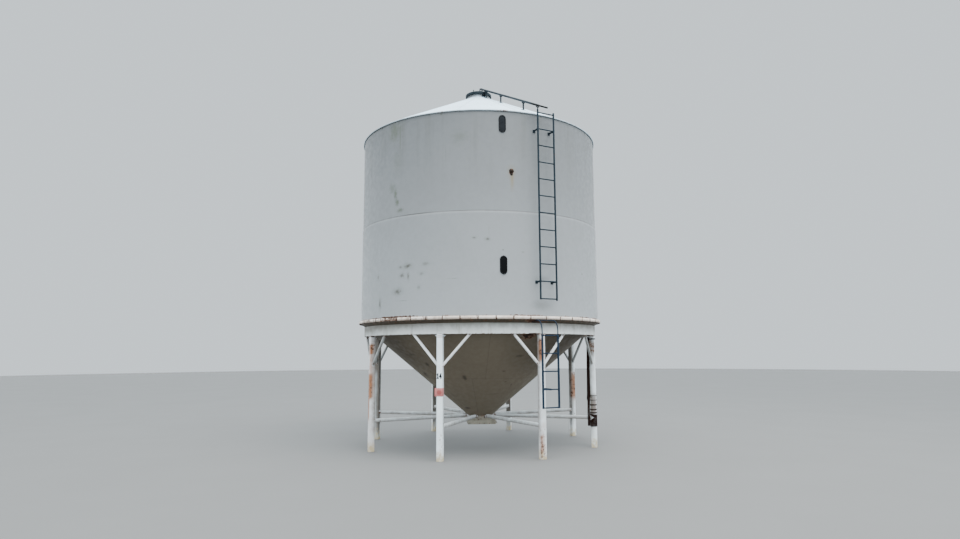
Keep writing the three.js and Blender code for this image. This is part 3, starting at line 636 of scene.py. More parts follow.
def barrel_paint(settings, radius, seam_z, base_z, top_z):
    """Chalky light grey-white paint, darkened towards the eave as painted shade, with rain runs under the
    eave, algae, chips, a lap seam darkened by dirt and by painted shade, a dark band under the eave that
    is partly painted shade and partly dirt, rust specks above the ledge and the rust run under the plug."""
    material, net, shader, place = new_material("barrel paint", specular=0.3)
    z = net.height_of(place)
    colour, rough, height = sprayed_coat(net, place, opaque(settings.paint), opaque(settings.worn),
                                         0.9, 0.55)
    torn = net.noise(place, 16.0, 5.0, 0.7)

    def spot(azimuth, height_at, *shape):
        return spot_mask(net, place, torn, azimuth, radius, height_at, *shape)

    def marked(marks, *shape):
        return spots(net, place, torn, marks, lambda z: radius, *shape)

    # Painted shade: the paint darkens evenly from the ledge up to the eave; the step at the lap seam gives
    # the upper course a slightly darker tone.
    grime = net.node("MapRange", {"Value": z, "From Min": base_z, "From Max": top_z}).outputs[0]
    upper = net.steps(z, seam_z, seam_z + 0.01, 0.0, 0.12)
    grime = net.plus(net.times(grime, 0.86), upper)
    colour = net.blend(grime, colour, settings.upper_tint, "MULTIPLY")
    runs = net.times(rain_streaks(net, place, 5.0, 0.28, 0.2)[0], net.steps(z, top_z - 1.6, top_z))
    colour = net.blend(net.times(runs, 0.35), colour, settings.dirt)

    # Grey smudges beside and behind the upper ladder, in the dirt colour.
    colour = net.blend(marked(GREY_MARKS, 0.5, 0.0), colour, settings.dirt)
    colour = net.blend(marked(GREEN_MARKS, 1.6, 0.0), colour, settings.algae)
    colour = net.blend(net.times(marked(CHIP_MARKS, 2.0, 0.35, "Halo"), 0.3), colour, settings.algae)
    chips = marked(CHIP_MARKS, 2.2, 0.1)
    colour = net.blend(chips, colour, settings.chip)
    colour = net.blend(marked(LINE_MARKS, 0.5, 0.3), colour, settings.algae)

    # Seam dirt along the lap, stronger near azimuth -12; it is also painted shade that darkens the lit top
    # edge of the lower course.
    lap = net.maths("ABSOLUTE", net.minus(z, seam_z))
    along = net.noise(net.scaled(place, (2.2, 2.2, 0.2)), 1.0, 4.0, 0.7)
    front = net.times(spot(-12.0, seam_z - 0.006, 0.62, 0.05, 0.7, 0.1), 0.4)
    held = net.plus(net.steps(along, 0.42, 0.62, 0.42, 0.60), front)
    colour = net.blend(net.times(net.steps(lap, 0.016, 0.004), held), colour, settings.seam)
    # Painted shade under the eave, partly dirt: a dark band along the top of the barrel, strongest round
    # azimuth -38, in the seam dirt colour.
    eave = spot(-38.0, top_z - 0.005, 1.15, 0.045, 0.5, 0.3)
    colour = net.blend(net.times(eave, 0.6), colour, settings.seam)

    patchy = net.steps(net.noise(place, 2.4, 3.0), 0.38, 0.66, 0.15, 0.75)
    covers = [
        net.times(net.steps(z, base_z + 0.035, base_z), patchy),
        spot(31.0, 4.99, 0.052, 0.080, 0.6, 0.4),
        net.times(spot(27.3, top_z - 0.005, 0.12, 0.016, 1.6, 0.0), 0.7),
        spot(-23.0, base_z + 0.01, 0.75, 0.03, 1.2, 0.0),
    ]
    covers += [spot(turn, base_z + 0.015, 0.035, 0.018, 1.0, 0.2) for turn in (-13.4, -11.4, 32.4)]
    run = net.times(spot(31.25, 4.83, 0.055, 0.24, 0.4, 0.0), 0.55)
    ring = net.times(spot(31.0, 4.99, 0.055, 0.09, 0.6, 0.3, "Halo"), 0.3)
    colour = net.blend(net.maths("ADD", run, ring, clamp=True), colour, settings.rust_run)
    colour, rough, height = rust_cover(net, place, net.largest(covers), 26.0, colour, rough, height)
    finish_surface(net, shader, colour, rough, net.minus(height, net.times(chips, 0.5)), 0.25)
    return material


def plain_paint(name, paint, worn, patch=1.4, unevenness=0.6, specular=0.35, dirt=None, dirt_share=0.2,
                rust_scale=24.0, rusty=False, wear=None, bare=(0.09, 0.06, 0.045), ground=0.0,
                soil=(0.40, 0.30, 0.14), speck=0.0, metallic=0.0, strength=0.25, stains_and_shade=None):
    """A sprayed coat with rain runs of dirt, stains and painted shade that vertex values ask for, soil at the
    foot, worn edges, small rusty chips and, if rusty, rust where the vertex value "rust" asks for it."""
    material, net, shader, place = new_material(name, metallic, specular)
    colour, rough, height = sprayed_coat(net, place, opaque(paint), opaque(worn), patch, unevenness)
    if dirt:
        colour = net.blend(net.times(rain_streaks(net, place, 9.0, 1.1, dirt_share)[0], 0.5), colour, dirt)
    # Each named vertex value lays its colour on: real stains, and grime that is partly painted shade.
    for stain, tone in (stains_and_shade or {}).items():
        torn = net.minus(net.noise(place, 7.0, 5.0, 0.65), 0.5)
        level = net.plus(net.value(stain), net.times(torn, 0.5))
        level = net.times(level, net.steps(net.value(stain), 0.0, 0.2))
        colour = net.blend(net.steps(level, 0.0, 1.0), colour, tone)
    if ground:
        foot = ground_dirt(net, place, ground)[0]
        colour = net.blend(net.times(foot, 0.8), colour, soil)
        rough = net.maths("MAXIMUM", rough, net.times(foot, 0.95))
    covers = []
    if speck:
        covers.append(net.times(scattered_chips(net, place, 22.0, speck)[0], 0.8))
    if rusty:
        covers.append(net.value("rust"))
    if wear:
        colour = net.blend(worn_edge(net, place, net.value("wear"), wear)[0], colour, bare)
    if covers:
        colour, rough, height = rust_cover(net, place, net.largest(covers), rust_scale, colour, rough, height)
    finish_surface(net, shader, colour, rough, height, strength)
    return material


def pane_material(name, colour):
    """A dark sight pane, smooth under a film of dust that lies thicker in places."""
    material, net, shader, place = new_material(name, 0.0, 0.06)
    film = net.steps(net.noise(place, 9.0, 5.0, 0.7), 0.35, 0.7)
    film = net.maths("MAXIMUM", film, net.times(rain_streaks(net, place, 30.0, 3.0, 0.2)[0], 0.8))
    dusty = net.blend(net.times(film, 0.35), colour, scaled_colour(colour, 2.4))
    rough = net.steps(film, 0.0, 1.0, 0.25, 0.55)
    finish_surface(net, shader, dusty, rough, net.noise(place, 40.0, 2.0), 0.08)
    return material


def rubber_material(name, colour, dust):
    """A matt black sleeve, greyed by dust in its low places."""
    material, net, shader, place = new_material(name, 0.0, 0.1)
    grey = net.steps(net.noise(place, 22.0, 4.0, 0.65), 0.4, 0.75)
    colour = net.blend(net.times(grey, 0.35), colour, dust)
    rough = net.steps(grey, 0.0, 1.0, 0.62, 0.85)
    finish_surface(net, shader, colour, rough, net.noise(place, 220.0, 2.0), 0.3)
    return material


def floor_material(colour):
    """A plain matt floor with hardly any variation."""
    material, net, shader, place = new_material("studio floor", 0.0, 0.2)
    soft = net.noise(place, 0.6, 3.0)
    shade = net.blend(soft, colour, scaled_colour(colour, 0.965))
    rough = net.steps(soft, 0.0, 1.0, 0.8, 0.9)
    finish_surface(net, shader, shade, rough, net.noise(place, 60.0, 2.0), 0.05)
    return material


def tape_material(colour, face):
    """Faded tape: torn paler patches, and a darker middle where the colour has held."""
    material, net, shader, place = new_material("band tape", specular=0.35)
    torn = net.noise(place, 26.0, 5.0, 0.7)
    middle = spot_mask(net, place, torn, 0.0, face, 1.152, 0.058, 0.056, 0.9, 0.5)
    pale = scaled_colour(colour, 0.9, 0.07)
    faded = net.blend(net.steps(torn, 0.35, 0.7), pale, scaled_colour(pale, 0.9))
    shade = net.blend(net.times(middle, 0.85), faded, scaled_colour(colour, 0.6))
    rough = net.steps(torn, 0.3, 0.7, 0.45, 0.7)
    finish_surface(net, shader, shade, rough, net.noise(place, 70.0, 3.0), 0.3)
    return material


# Settings that a user would change

def colour_prop(name, description, default):
    return FloatVectorProperty(name=name, description=description, subtype="COLOR", size=3,
                               min=0.0, max=1.0, default=default)


def length_prop(name, description, default):
    return FloatProperty(name=name, description=description, default=default, unit="LENGTH")


def angle_prop(name, description, degrees):
    return FloatProperty(name=name, description=description, default=math.radians(degrees),
                         subtype="ANGLE")


class StageSettings(PropertyGroup):
    """The floor, the light and the camera."""
    floor: colour_prop("Floor", "Colour of the plain floor", (0.16, 0.16, 0.156))
    sky: colour_prop("Surround", "Colour of the light all round", (0.86, 0.945, 1.0))
    sky_strength: FloatProperty(name="Surround strength", description="Strength of the light all round",
                                default=3.0)
    backdrop: FloatProperty(name="Backdrop", description="Strength of the surround where it is seen directly",
                            default=1.05)
    key_power: FloatProperty(name="Key light", description="Power of the large soft light",
                             default=3700.0, unit="POWER")
    key_distance: length_prop("Key distance", "From the middle of the silo to the light", 14.0)
    key_turn: angle_prop("Key turn", "Azimuth of the light from the camera's", 28.0)
    key_rise: angle_prop("Key rise", "Height of the light as an angle", 60.0)
    distance: length_prop("Camera distance", "From the silo's axis, level", 13.476)
    eye_height: length_prop("Eye height", "Height of the camera above the ground", 1.83)
    azimuth: angle_prop("Camera azimuth", "Where the camera stands round the silo", 17.18)
    pitch: angle_prop("Camera pitch", "Upward tilt of the view", 7.30)
    yaw: angle_prop("Camera yaw", "Turn of the view off the axis", 0.057)
    roll: angle_prop("Camera roll", "Roll of the view", -0.292)
    lens: FloatProperty(name="Lens", description="Focal length for a 36 mm sensor", default=24.22,
                        unit="CAMERA")


class BarrelSettings(PropertyGroup):
    """The barrel's sheets and paint."""
    columns: IntProperty(name="Columns", description="Even columns round the barrel", default=360, min=48)
    seam_height: length_prop("Seam height", "Height of the bead on an upright seam", 0.0016)
    seam_half_width: length_prop("Seam half width", "Half width of the bead on a seam", 0.008)
    wave: length_prop("Wave", "Depth of the slow waves in the rolled sheet", 0.0018)
    paint: colour_prop("Paint", "Sound paint", (0.278, 0.293, 0.302))
    worn: colour_prop("Worn paint", "Chalked paint", (0.255, 0.267, 0.273))
    # Multiplied in towards the eave: the barrel's painted shade.
    upper_tint: colour_prop("Grime_and_shade", "What the grime towards the eave lets through", (0.43, 0.435, 0.44))
    dirt: colour_prop("Dirt", "Rain-washed dirt", (0.095, 0.10, 0.092))
    algae: colour_prop("Algae", "Greenish growth", (0.07, 0.082, 0.053))
    chip: colour_prop("Chips", "Brown chips down to primer", (0.055, 0.05, 0.036))
    # This colour also paints the lap seam and the band under the eave, both partly painted shade.
    seam: colour_prop("Seam dirt", "Dirt held by the seams", (0.05, 0.047, 0.042))
    rust_run: colour_prop("Rust run", "Stain washed down from rust", (0.17, 0.135, 0.065))


class RoofSettings(PropertyGroup):
    """The roof cone and its collar."""
    panels: IntProperty(name="Panels", description="Sheets that make the cone", default=14, min=3)
    lap: length_prop("Lap", "Height of the lap where two roof sheets meet", 0.004)
    first_seam: angle_prop("First seam", "Azimuth of the first roof seam", 8.0)
    drip: length_prop("Drip edge", "How far the eave turns down", 0.018)
    paint: colour_prop("Paint", "Sound paint", (0.53, 0.69, 0.82))
    worn: colour_prop("Worn paint", "Dusty paint", (0.43, 0.53, 0.59))


class LidSettings(PropertyGroup):
    """The filler lid, its hinge, the pull rod and its guides."""
    rim_height: length_prop("Rim height", "Height of the lid's rounded rim above the ground", 7.368)
    crown_height: length_prop("Crown height", "Height of the lid's middle above the ground", 7.386)
    radius: length_prop("Lid radius", "Outer radius of the lid", 0.279)
    rod_radius: length_prop("Rod radius", "Half the tube's width", 0.020)
    grip_radius: length_prop("Grip radius", "Half the grip's width", 0.016)
    grip_shift: length_prop("Grip shift", "From the rod's end to the grip's middle, to the right", 0.0175)
    grip_tilt: angle_prop("Grip tilt", "Turn of the grip about the rod's line", 4.5)
    paint: colour_prop("Paint", "Dark teal-grey paint", (0.008, 0.0135, 0.0175))
    worn: colour_prop("Worn paint", "Faded paint", (0.015, 0.023, 0.028))
    steel: colour_prop("Steel paint", "Dark paint of the rod and guides", (0.009, 0.0135, 0.0175))


class LedgeSettings(PropertyGroup):
    """The short plates round the foot of the barrel."""
    plates: IntProperty(name="Plates", description="Number of plates", default=50, min=8)
    first_seam: angle_prop("First seam", "Azimuth of the first joint between plates", 2.2)
    gap: length_prop("Gap", "Gap between neighbouring plates", 0.006)
    paint: colour_prop("Paint", "Cream paint", (0.86, 0.77, 0.69))
    worn: colour_prop("Worn paint", "Stained cream paint", (0.60, 0.50, 0.42))


class FrameSettings(PropertyGroup):
    """The ring beam, the legs, the braces and the spokes."""
    leg_width: length_prop("Leg width", "Side of the square leg tube", 0.1016)
    leg_rounding: length_prop("Leg corner", "Corner radius of the leg tube", 0.008)
    brace_width: length_prop("Brace width", "Side of the square brace tube", 0.041)
    brace_foot: length_prop("Brace foot", "Height where a brace leaves its leg", 1.615)
    brace_spread: angle_prop("Brace spread", "Azimuth from a leg to the head of its brace", 13.0)
    beam_paint: colour_prop("Beam paint", "Paint of the ring beam", (0.58, 0.61, 0.605))
    beam_worn: colour_prop("Worn beam paint", "Dusty paint of the ring beam", (0.50, 0.51, 0.49))
    paint: colour_prop("Leg paint", "Paint of the legs", (0.78, 0.86, 0.89))
    worn: colour_prop("Worn leg paint", "Dirty paint of the legs", (0.66, 0.71, 0.73))
    tape: colour_prop("Tape", "Faded band on the first leg", (0.42, 0.085, 0.075))


class HopperSettings(PropertyGroup):
    """The hopper cone and the outlet."""
    wall: length_prop("Sheet", "Sheet thickness measured level", 0.0186)
    girth_seam: length_prop("Girth seam", "Height of the seam round the hopper", 1.33)
    # The paint is dark partly with brown dust and partly as painted shade of the silo's underside.
    paint: colour_prop("Paint", "Dusty grey-brown paint", (0.146, 0.120, 0.087))
    worn: colour_prop("Worn paint", "Darker dust", (0.128, 0.106, 0.076))
    outlet_paint: colour_prop("Outlet paint", "Worn paint of the gate", (0.26, 0.24, 0.19))


class LadderSettings(PropertyGroup):
    """Both ladders."""
    rung_pitch: length_prop("Rung pitch", "Height from rung to rung", 0.3048)
    rung_radius: length_prop("Rung radius", "Half a rung's width", 0.011)
    upper_azimuth: angle_prop("Upper azimuth", "Where the upper ladder stands", 45.4)
    upper_rail: length_prop("Upper rail radius", "Half a rail's width", 0.0165)
    upper_top_rung: length_prop("Upper top rung", "Height of the top rung", 6.098)
    lower_azimuth: angle_prop("Lower azimuth", "Where the lower ladder hangs", 44.7)
    lower_rail: length_prop("Lower rail radius", "Half a rail's width", 0.019)
    lower_top_rung: length_prop("Lower top rung", "Height of the top rung", 2.11)
    upper_paint: colour_prop("Upper paint", "Dark teal paint", (0.009, 0.015, 0.020))
    upper_worn: colour_prop("Worn upper paint", "Faded dark teal", (0.014, 0.025, 0.034))
    lower_paint: colour_prop("Lower paint", "Dark blue paint", (0.008, 0.016, 0.028))
    lower_worn: colour_prop("Worn lower paint", "Faded dark blue", (0.013, 0.025, 0.043))


class CableSettings(PropertyGroup):
    """The cable on the third leg."""
    azimuth: angle_prop("Azimuth", "Where the leg with the cable stands", 90.0)
    radius: length_prop("Cable radius", "Half the cable's width", 0.006)
    pitch: length_prop("Pitch", "Height from turn to turn of the dense winding", 0.0135)
    wound_top: length_prop("Winding top", "Top of the dense winding", 0.632)
    spoke_room: length_prop("Room at the spoke", "How far turns are pushed off the spoke", 0.045)
    bundle_top: length_prop("Bundle top", "Width of the bundle under the beam", 0.050)
    bundle_low: length_prop("Bundle", "Width of the bundle lower down", 0.066)
    bundle_thin: length_prop("Bundle foot", "Width of the bundle beside the winding", 0.044)


class WindowSettings(PropertyGroup):
    """The two sight windows and the rusted plug beside the ladder."""
    azimuth: angle_prop("Azimuth", "Where both windows are", 27.2)
    frame_width: length_prop("Frame width", "Width of the frame round a pane", 0.016)
    plug_azimuth: angle_prop("Plug azimuth", "Where the rusted plug is", 31.0)
    plug_height: length_prop("Plug height", "Height of the rusted plug", 5.012)
    upper_pane: colour_prop("Upper pane", "Dark grey pane", (0.0075, 0.009, 0.011))
    lower_pane: colour_prop("Lower pane", "Black pane", (0.001, 0.0013, 0.0016))
    rim: colour_prop("Frame", "Dark frame of the windows", (0.004, 0.0045, 0.0055))


# Stage

def make_floor(settings):
    """A flat round floor, fine enough to shade evenly, just under the feet."""
    points, quads, caps = spun([(60.0, -0.02), (60.0, 0.0)], 96, centre=(0, 0, -0.001))
    mesh = bpy.data.meshes.new("studio_floor")
    mesh.from_pydata(points, [], quads.tolist() + [cap.tolist() for cap in caps])
    mesh.materials.append(floor_material(settings.floor))
    floor = bpy.data.objects.new("studio_floor", mesh)
    bpy.context.scene.collection.objects.link(floor)


def make_camera(settings):
    """Forward, right and up are worked out looking along +Y from -Y, with yaw, pitch and roll,
    and all three are then turned to the camera's azimuth."""
    pitch, yaw, roll = settings.pitch, settings.yaw, settings.roll
    forward = np.array([math.sin(yaw) * math.cos(pitch), math.cos(yaw) * math.cos(pitch), math.sin(pitch)])
    level = np.array([math.cos(yaw), -math.sin(yaw), 0.0])
    raised = np.cross(level, forward)
    right = math.cos(roll) * level + math.sin(roll) * raised
    up = -math.sin(roll) * level + math.cos(roll) * raised
    place = Matrix.Identity(4)
    for row in range(3):
        place[row][0] = right[row]
        place[row][1] = up[row]
        place[row][2] = -forward[row]
    place[1][3] = -settings.distance
    place[2][3] = settings.eye_height
    data = bpy.data.cameras.new("camera")
    data.sensor_width = 36.0
    data.lens = settings.lens
    data.clip_end = 200.0
    camera = bpy.data.objects.new("camera", data)
    bpy.context.scene.collection.objects.link(camera)
    camera.matrix_world = Matrix.Rotation(settings.azimuth, 4, "Z") @ place
    bpy.context.scene.camera = camera


def soft_light(name, place, target, size, power, tint):
    """A round area light that faces its target."""
    data = bpy.data.lights.new(name, "AREA")
    data.shape = "DISK"
    data.size = size
    data.energy = power
    data.color = tint
    light = bpy.data.objects.new(name, data)
    bpy.context.scene.collection.objects.link(light)
    light.location = place
    light.rotation_euler = (Vector(target) - Vector(place)).to_track_quat("-Z", "Y").to_euler()


def make_light(settings):
    """A pale surround and one large soft light high up on the camera's side. The surround's
    strength = its light + seen directly * (backdrop - its light)."""
    world = bpy.data.worlds.new("surround")
    world.use_nodes = True
    net = Net(world.node_tree)
    seen = net.node("LightPath").outputs["Is Camera Ray"]
    step = net.times(seen, settings.backdrop - settings.sky_strength)
    back = world.node_tree.nodes["Background"]
    back.inputs["Color"].default_value = (*settings.sky, 1)
    world.node_tree.links.new(net.plus(step, settings.sky_strength), back.inputs["Strength"])
    bpy.context.scene.world = world
    azimuth = settings.azimuth + settings.key_turn
    out = settings.key_distance * math.cos(settings.key_rise)
    high = settings.key_distance * math.sin(settings.key_rise)
    aim = (0, 0, 4.0)
    place = (out * math.sin(azimuth), -out * math.cos(azimuth), aim[2] + high)
    width = 11.0
    warm_white = (1.0, 0.99, 0.97)
    soft_light("key", place, aim, width, settings.key_power, warm_white)


# Barrel

def seam_columns(count, seams):
    """Even azimuths with extra ones close to each seam, so that a narrow bead shows."""
    near = [0.0, 0.1, 0.2, 0.32, 0.5]
    extra = [s + side * n for s in seams for n in near for side in (-1, 1)]
    return np.unique(np.round(np.concatenate([np.arange(count) * 360 / count, np.array(extra) % 360]), 4))


def sheet_waves(azimuth, z, depth):
    """Slow waves: a sum of three sines round and up the barrel, at most depth."""
    a = np.radians(azimuth)
    first = np.sin(5 * a + 1.3 * z) * np.sin(2.1 * z + 0.7)
    second = np.sin(11 * a - 0.9 * z + 2.0) * np.sin(3.3 * z + 1.9)
    third = np.sin(19 * a + 0.6) * np.sin(1.2 * z + 0.4)
    return depth * (0.5 * first + 0.3 * second + 0.2 * third)


def make_course(name, nodes, settings, material, laps):
    """One course of the barrel: a closed ring of sheet with waves, upright seam beads and a
    rounded edge. laps is True for the lower course, whose top edge laps over the upper one."""
    (inner, low), (outer, high) = reach(nodes[0])
    seams = [azimuth_of(corner_points(n).mean(0)) + 60 for n in nodes]
    rise = np.linspace(low, high, 38)
    edge = np.array([0.0012, 0.004])
    body_rise = np.concatenate([[low], low + edge, rise[1:-1], high - edge[::-1], [high]])
    lip_in = np.where(body_rise > high - 0.003, 0.0016 if laps else 0.0, 0.0)
    outside = np.stack([outer - lip_in, body_rise], -1)
    inside = np.stack([np.full(6, inner), np.linspace(high, low, 6)], -1)
    profile = np.concatenate([outside, inside])

    def relief(azimuth, z, r):
        """Seam beads, and waves that fade towards both edges, on the outer side only."""
        beads = sum(hump(0, settings.seam_half_width, np.radians(turn_apart(azimuth, s)) * outer)
                    for s in seams)
        free = smooth_step(low, low + 0.15, z) * smooth_step(high, high - 0.15, z)
        on_outside = r > (inner + outer) / 2
        waves = free * sheet_waves(azimuth, z, settings.wave)
        return np.where(on_outside, settings.seam_height * beads + waves, 0)

    shape = Shape()
    shape.add(hoop(profile, seam_columns(settings.columns, seams), relief))
    shape.build(name, [material], "silo", nodes)


def make_barrel():
    """Both courses, in one paint whose marks know the heights of the seam, ledge and eave."""
    settings = bpy.context.scene.silo_barrel
    lower = [f"wall_lower_{i}" for i in (1, 2, 3)]
    upper = [f"wall_upper_{i}" for i in (1, 2, 3)]
    radius, seam_z = reach(lower[0])[1]
    top_z = reach(upper[0])[1][1]
    ledge_top = reach("ledge_ring")[1][1]
    material = barrel_paint(settings, radius, seam_z, ledge_top, top_z)
    make_course("barrel_lower_course", lower, settings, material, True)
    make_course("barrel_upper_course", upper, settings, material, False)


# Roof and collar

def make_roof():
    """The cone of lapped sheets with its turned-down edge, and the collar on it."""
    settings = bpy.context.scene.silo_roof
    (mouth, eave_low), (edge, top) = reach("roof_cone")
    eave = eave_low + settings.drip
    slope = (top - eave) / (edge - mouth)
    sheet = 0.012
    under_edge = reach("wall_upper_1")[1][1]
    seams = [math.degrees(settings.first_seam) + 360 / settings.panels * i for i in range(settings.panels)]
    run = np.concatenate([[0.0, 0.004, 0.012], np.linspace(0.03, 1.0, 22)])
    r_out = edge - run * (edge - mouth)
    z_out = eave + (edge - r_out) * slope - np.where(run == 0, 0.003, 0)
    outside = np.stack([r_out, z_out], -1)
    seat = reach("wall_upper_1")[0][0] - 0.01
    inside = np.array([
        [mouth, top - sheet],
        [seat, eave + (edge - seat) * slope - sheet],
        [seat, under_edge],
        [edge - sheet, under_edge],
        [edge - sheet, eave_low],
        [edge - 0.003, eave_low],
        [edge, eave_low + 0.003],
    ])
    profile = np.concatenate([outside, inside])

    def relief(azimuth, z, r):
        """A sheet's edge laps over the next: the height falls off sharply on one side of a seam
        and slowly on the other, and it fades at the eave and the collar."""
        rise = 0
        for s in seams:
            away = np.radians(turn_apart(azimuth, s)) * np.maximum(r, 0.3)
            rise = rise + np.where(away > 0, hump(0, 0.006, away), hump(0, 0.05, away))
        fade = smooth_step(edge - 0.002, edge - 0.02, r) * smooth_step(mouth, mouth + 0.05, r)
        upper = z > eave - 0.004 + (edge - r) * slope
        return np.where(upper, settings.lap * rise * fade, 0)

    shape = Shape("rust", "grime")
    body = hoop(profile, seam_columns(256, seams), relief)
    azimuth, r, z = polar(body)
    at_edge = smooth_step(edge - 0.035, edge - 0.004, r)
    patch = 0.4 * hump(0, 2.6, turn_apart(azimuth, 27.5)) + 0.3 * hump(0, 1.5, turn_apart(azimuth, 1.0))
    patch = patch + 0.3 * hump(0, 4.0, turn_apart(azimuth, 205.0))
    # Darker round azimuth 62. Near the mouth the darkening is partly painted shade of the lid and partly
    # dirt, and the turned-down eave edge gets painted shade, strongest round azimuth -15.
    grime = 0.16 * hump(0, 34, turn_apart(azimuth, 62))
    grime = grime + 0.3 * smooth_step(1.0, 0.15, r - mouth) + 0.25 * smooth_step(0.12, 0.0, r - mouth)
    turned_down = smooth_step(eave - 0.001, eave - 0.003, z) * smooth_step(edge - 0.02, edge - 0.004, r)
    grime = grime + turned_down * (0.3 + 0.35 * hump(0, 60, turn_apart(azimuth, -15)))
    shape.add(body, rust=at_edge * (0.10 + patch), grime=grime)
    material = plain_paint("roof paint", settings.paint, settings.worn, 1.3, 0.6, 0.35,
                           dirt=(0.36, 0.37, 0.36), dirt_share=0.08, rusty=True, rust_scale=30.0,
                           speck=0.02, stains_and_shade={"grime": (0.11, 0.105, 0.10)})
    span_r = np.linspace(mouth + 0.03, edge - 0.03, 60)
    for s in seams:
        bead(shape, around(span_r, s, eave + (edge - span_r) * slope + 0.0015), 0.0035, grime=0.5)
    shape.build("roof_sheets", [material], "silo", ["roof_cone"], sharp=30)
    collar_r = reach("roof_collar")[1][0]
    make_collar(material, eave + (edge - collar_r) * slope)


def make_collar(material, seat_z):
    """The filler collar above its seat on the cone: a tube with a rolled rim, its welds and three
    rivets, with painted shade over all of it that deepens under the lid."""
    (inner, foot), (outer, rim) = reach("roof_collar")
    collar = Shape("grime")
    profile = [(inner, foot), (outer, foot), (outer, seat_z), (outer, seat_z + 0.03), (outer, rim - 0.03)]
    profile += [(outer - 0.003 + p, rim - 0.006 + q) for p, q in circle(0.004, 6, 0.0, 180.0)]
    profile += [(inner, rim - 0.03)]
    shade_top = reach("roof_lid")[0][1]

    # Painted shade: the whole collar is darkened, and more so just under the lid's skirt.
    def painted_lid_shadow(x, y, z):
        return 0.5 + 0.4 * smooth_step(shade_top - 0.07, shade_top - 0.01, z)

    collar.add(hoop(profile, np.arange(0, 360, 3)), grime=painted_lid_shadow)
    bead(collar, around(outer + 0.002, np.arange(0, 360, 2), seat_z + 0.002), 0.006, closed=True)
    seam = around(outer + 0.0005, 150.0, np.linspace(seat_z, rim - 0.03, 30))
    bead(collar, seam, 0.0035, up=(1, 0, 0))
    rivet = [(0.006, -0.002), (0.006, 0.003), (0.003, 0.005)]
    for azimuth, z in ((12.0, seat_z + 0.022), (17.5, seat_z + 0.028), (23.0, seat_z + 0.022)):
        collar.add(spun(rivet, 8, around(outer, azimuth, z), around(1.0, azimuth, 0.0)))
    collar.build("filler_collar", [material], "silo", ["roof_collar"])


# Lid, rod and guides

def lid_profile(settings, low, under):
    """(radius, height) points of the lid: a slightly domed top, a rounded rim, a rolled lower
    edge from low up, and the underside, which lies on the collar at under."""
    radius, rim, crown = settings.radius, settings.rim_height, settings.crown_height
    skirt = radius - 0.015
    roll = 0.0072
    return [
        (0.012, crown), (0.10, crown - 0.002), (radius - 0.03, rim + 0.004), (radius - 0.012, rim + 0.0015),
        *((radius - 0.008 + p, rim - 0.009 + q) for p, q in circle(0.008, 5, 80.0, -80.0)),
        (radius, low + 0.014),
        *((radius - roll + p, low + roll + q) for p, q in circle(roll, 10, 40.0, -250.0)),
        (skirt, low + 0.016), (skirt, under), (0.2, under), (0.012, under + 0.016),
    ]


def add_lid_lugs(lid, settings, pin_r, pin_z):
    """Two lugs on the lid's crown with the pin between them, and its head."""
    base = settings.rim_height + 0.008
    flat = np.concatenate([
        [[pin_r - 0.035, base], [pin_r + 0.035, base]],
        circle(0.013, 10, 0.0, 180.0) + [pin_r, pin_z],
    ])
    middle = flat.mean(0)
    sheet = ((0.020, 0.0012), (0.0215, 0.0), (0.0255, 0.0), (0.027, 0.0012))
    for side in (-1, 1):
        loops = [(side * t, middle + (flat - middle) * (1 - shrink / 0.03)) for t, shrink in sheet]
        lid.add(stacked(loops), ROD_AZ, wear=0.6)
        foot = np.array([[side * 0.0235, pin_r + x, base + 0.002] for x in np.linspace(-0.036, 0.036, 16)])
        bead(lid, foot, 0.004, ROD_AZ)
    sideways = placed((1.0, 0.0, 0.0), ROD_AZ)
    pin = [(0.0045, -0.031), (0.006, -0.0295), (0.006, 0.0295), (0.0045, 0.031)]
    lid.add(spun(pin, 20, ROD_PIN, sideways), wear=0.8)
    head = [(0.0095, 0.0272), (0.0095, 0.0305), (0.007, 0.033)]
    lid.add(spun(head, 18, ROD_PIN, sideways), wear=0.8)


def make_lid_body(settings, paint, pin_r, pin_z):
    """The filler lid with its lugs, its hinge knuckle and two knobs on top."""
    radius, rim = settings.radius, settings.rim_height
    under = reach("roof_collar")[1][1] + 0.0003
    lid = Shape("wear")

    def worn_rim(x, y, z):
        return smooth_step(radius - 0.02, radius, np.hypot(x, y)) * 0.75

    lid.add(spun(lid_profile(settings, reach("roof_lid")[0][1], under), 96), wear=worn_rim)
    for share in (0.36, 0.7):
        ridge_z = settings.crown_height - 0.0012 - 0.011 * share
        bead(lid, around(radius * share, np.arange(0, 360, 3), ridge_z), 0.0022, closed=True)
    add_lid_lugs(lid, settings, pin_r, pin_z)
    hinge_r = math.hypot(HINGE[0], HINGE[1])
    lid.add(eye(0.015, 0.0066, 0.013, [hinge_r, HINGE[2]], 24), ROD_AZ, wear=0.5)
    leaf = bar((0, radius - 0.004, HINGE[2]), (0, hinge_r - 0.0085, HINGE[2]),
               soft_box(0.0145, 0.0115, 0.002), ease=0.001)
    lid.add(leaf, ROD_AZ, wear=0.5)
    knob = [(0.012, -0.004), (0.012, 0.006), (0.006, 0.010), (0.006, 0.022), (0.011, 0.026),
            (0.013, 0.034), (0.011, 0.041), (0.005, 0.044)]
    for azimuth, r in ((ROD_AZ + 150, 0.20), (-10.0, 0.235)):
        lid.add(spun(knob, 16, around(r, azimuth, rim + 0.006)), wear=0.7)
    lid.build("filler_lid", [paint], "lid", ["roof_lid"])


def make_strap(paint):
    """The rubber strap over the lid's edge near the hinge: nearly a quarter of an ellipse."""
    strap = Shape("wear")
    turn = np.radians(np.linspace(90, 6, 20))
    line = np.column_stack([0 * turn, 0.215 + 0.112 * np.cos(turn), HINGE[2] - 0.03 + 0.082 * np.sin(turn)])
    strap.add(carried(line, soft_box(0.011, 0.003, 0.0012), up=(1, 0, 0)), ROD_AZ + 9, wear=0.4)
    strap.build("lid_strap", [paint], "lid", [])


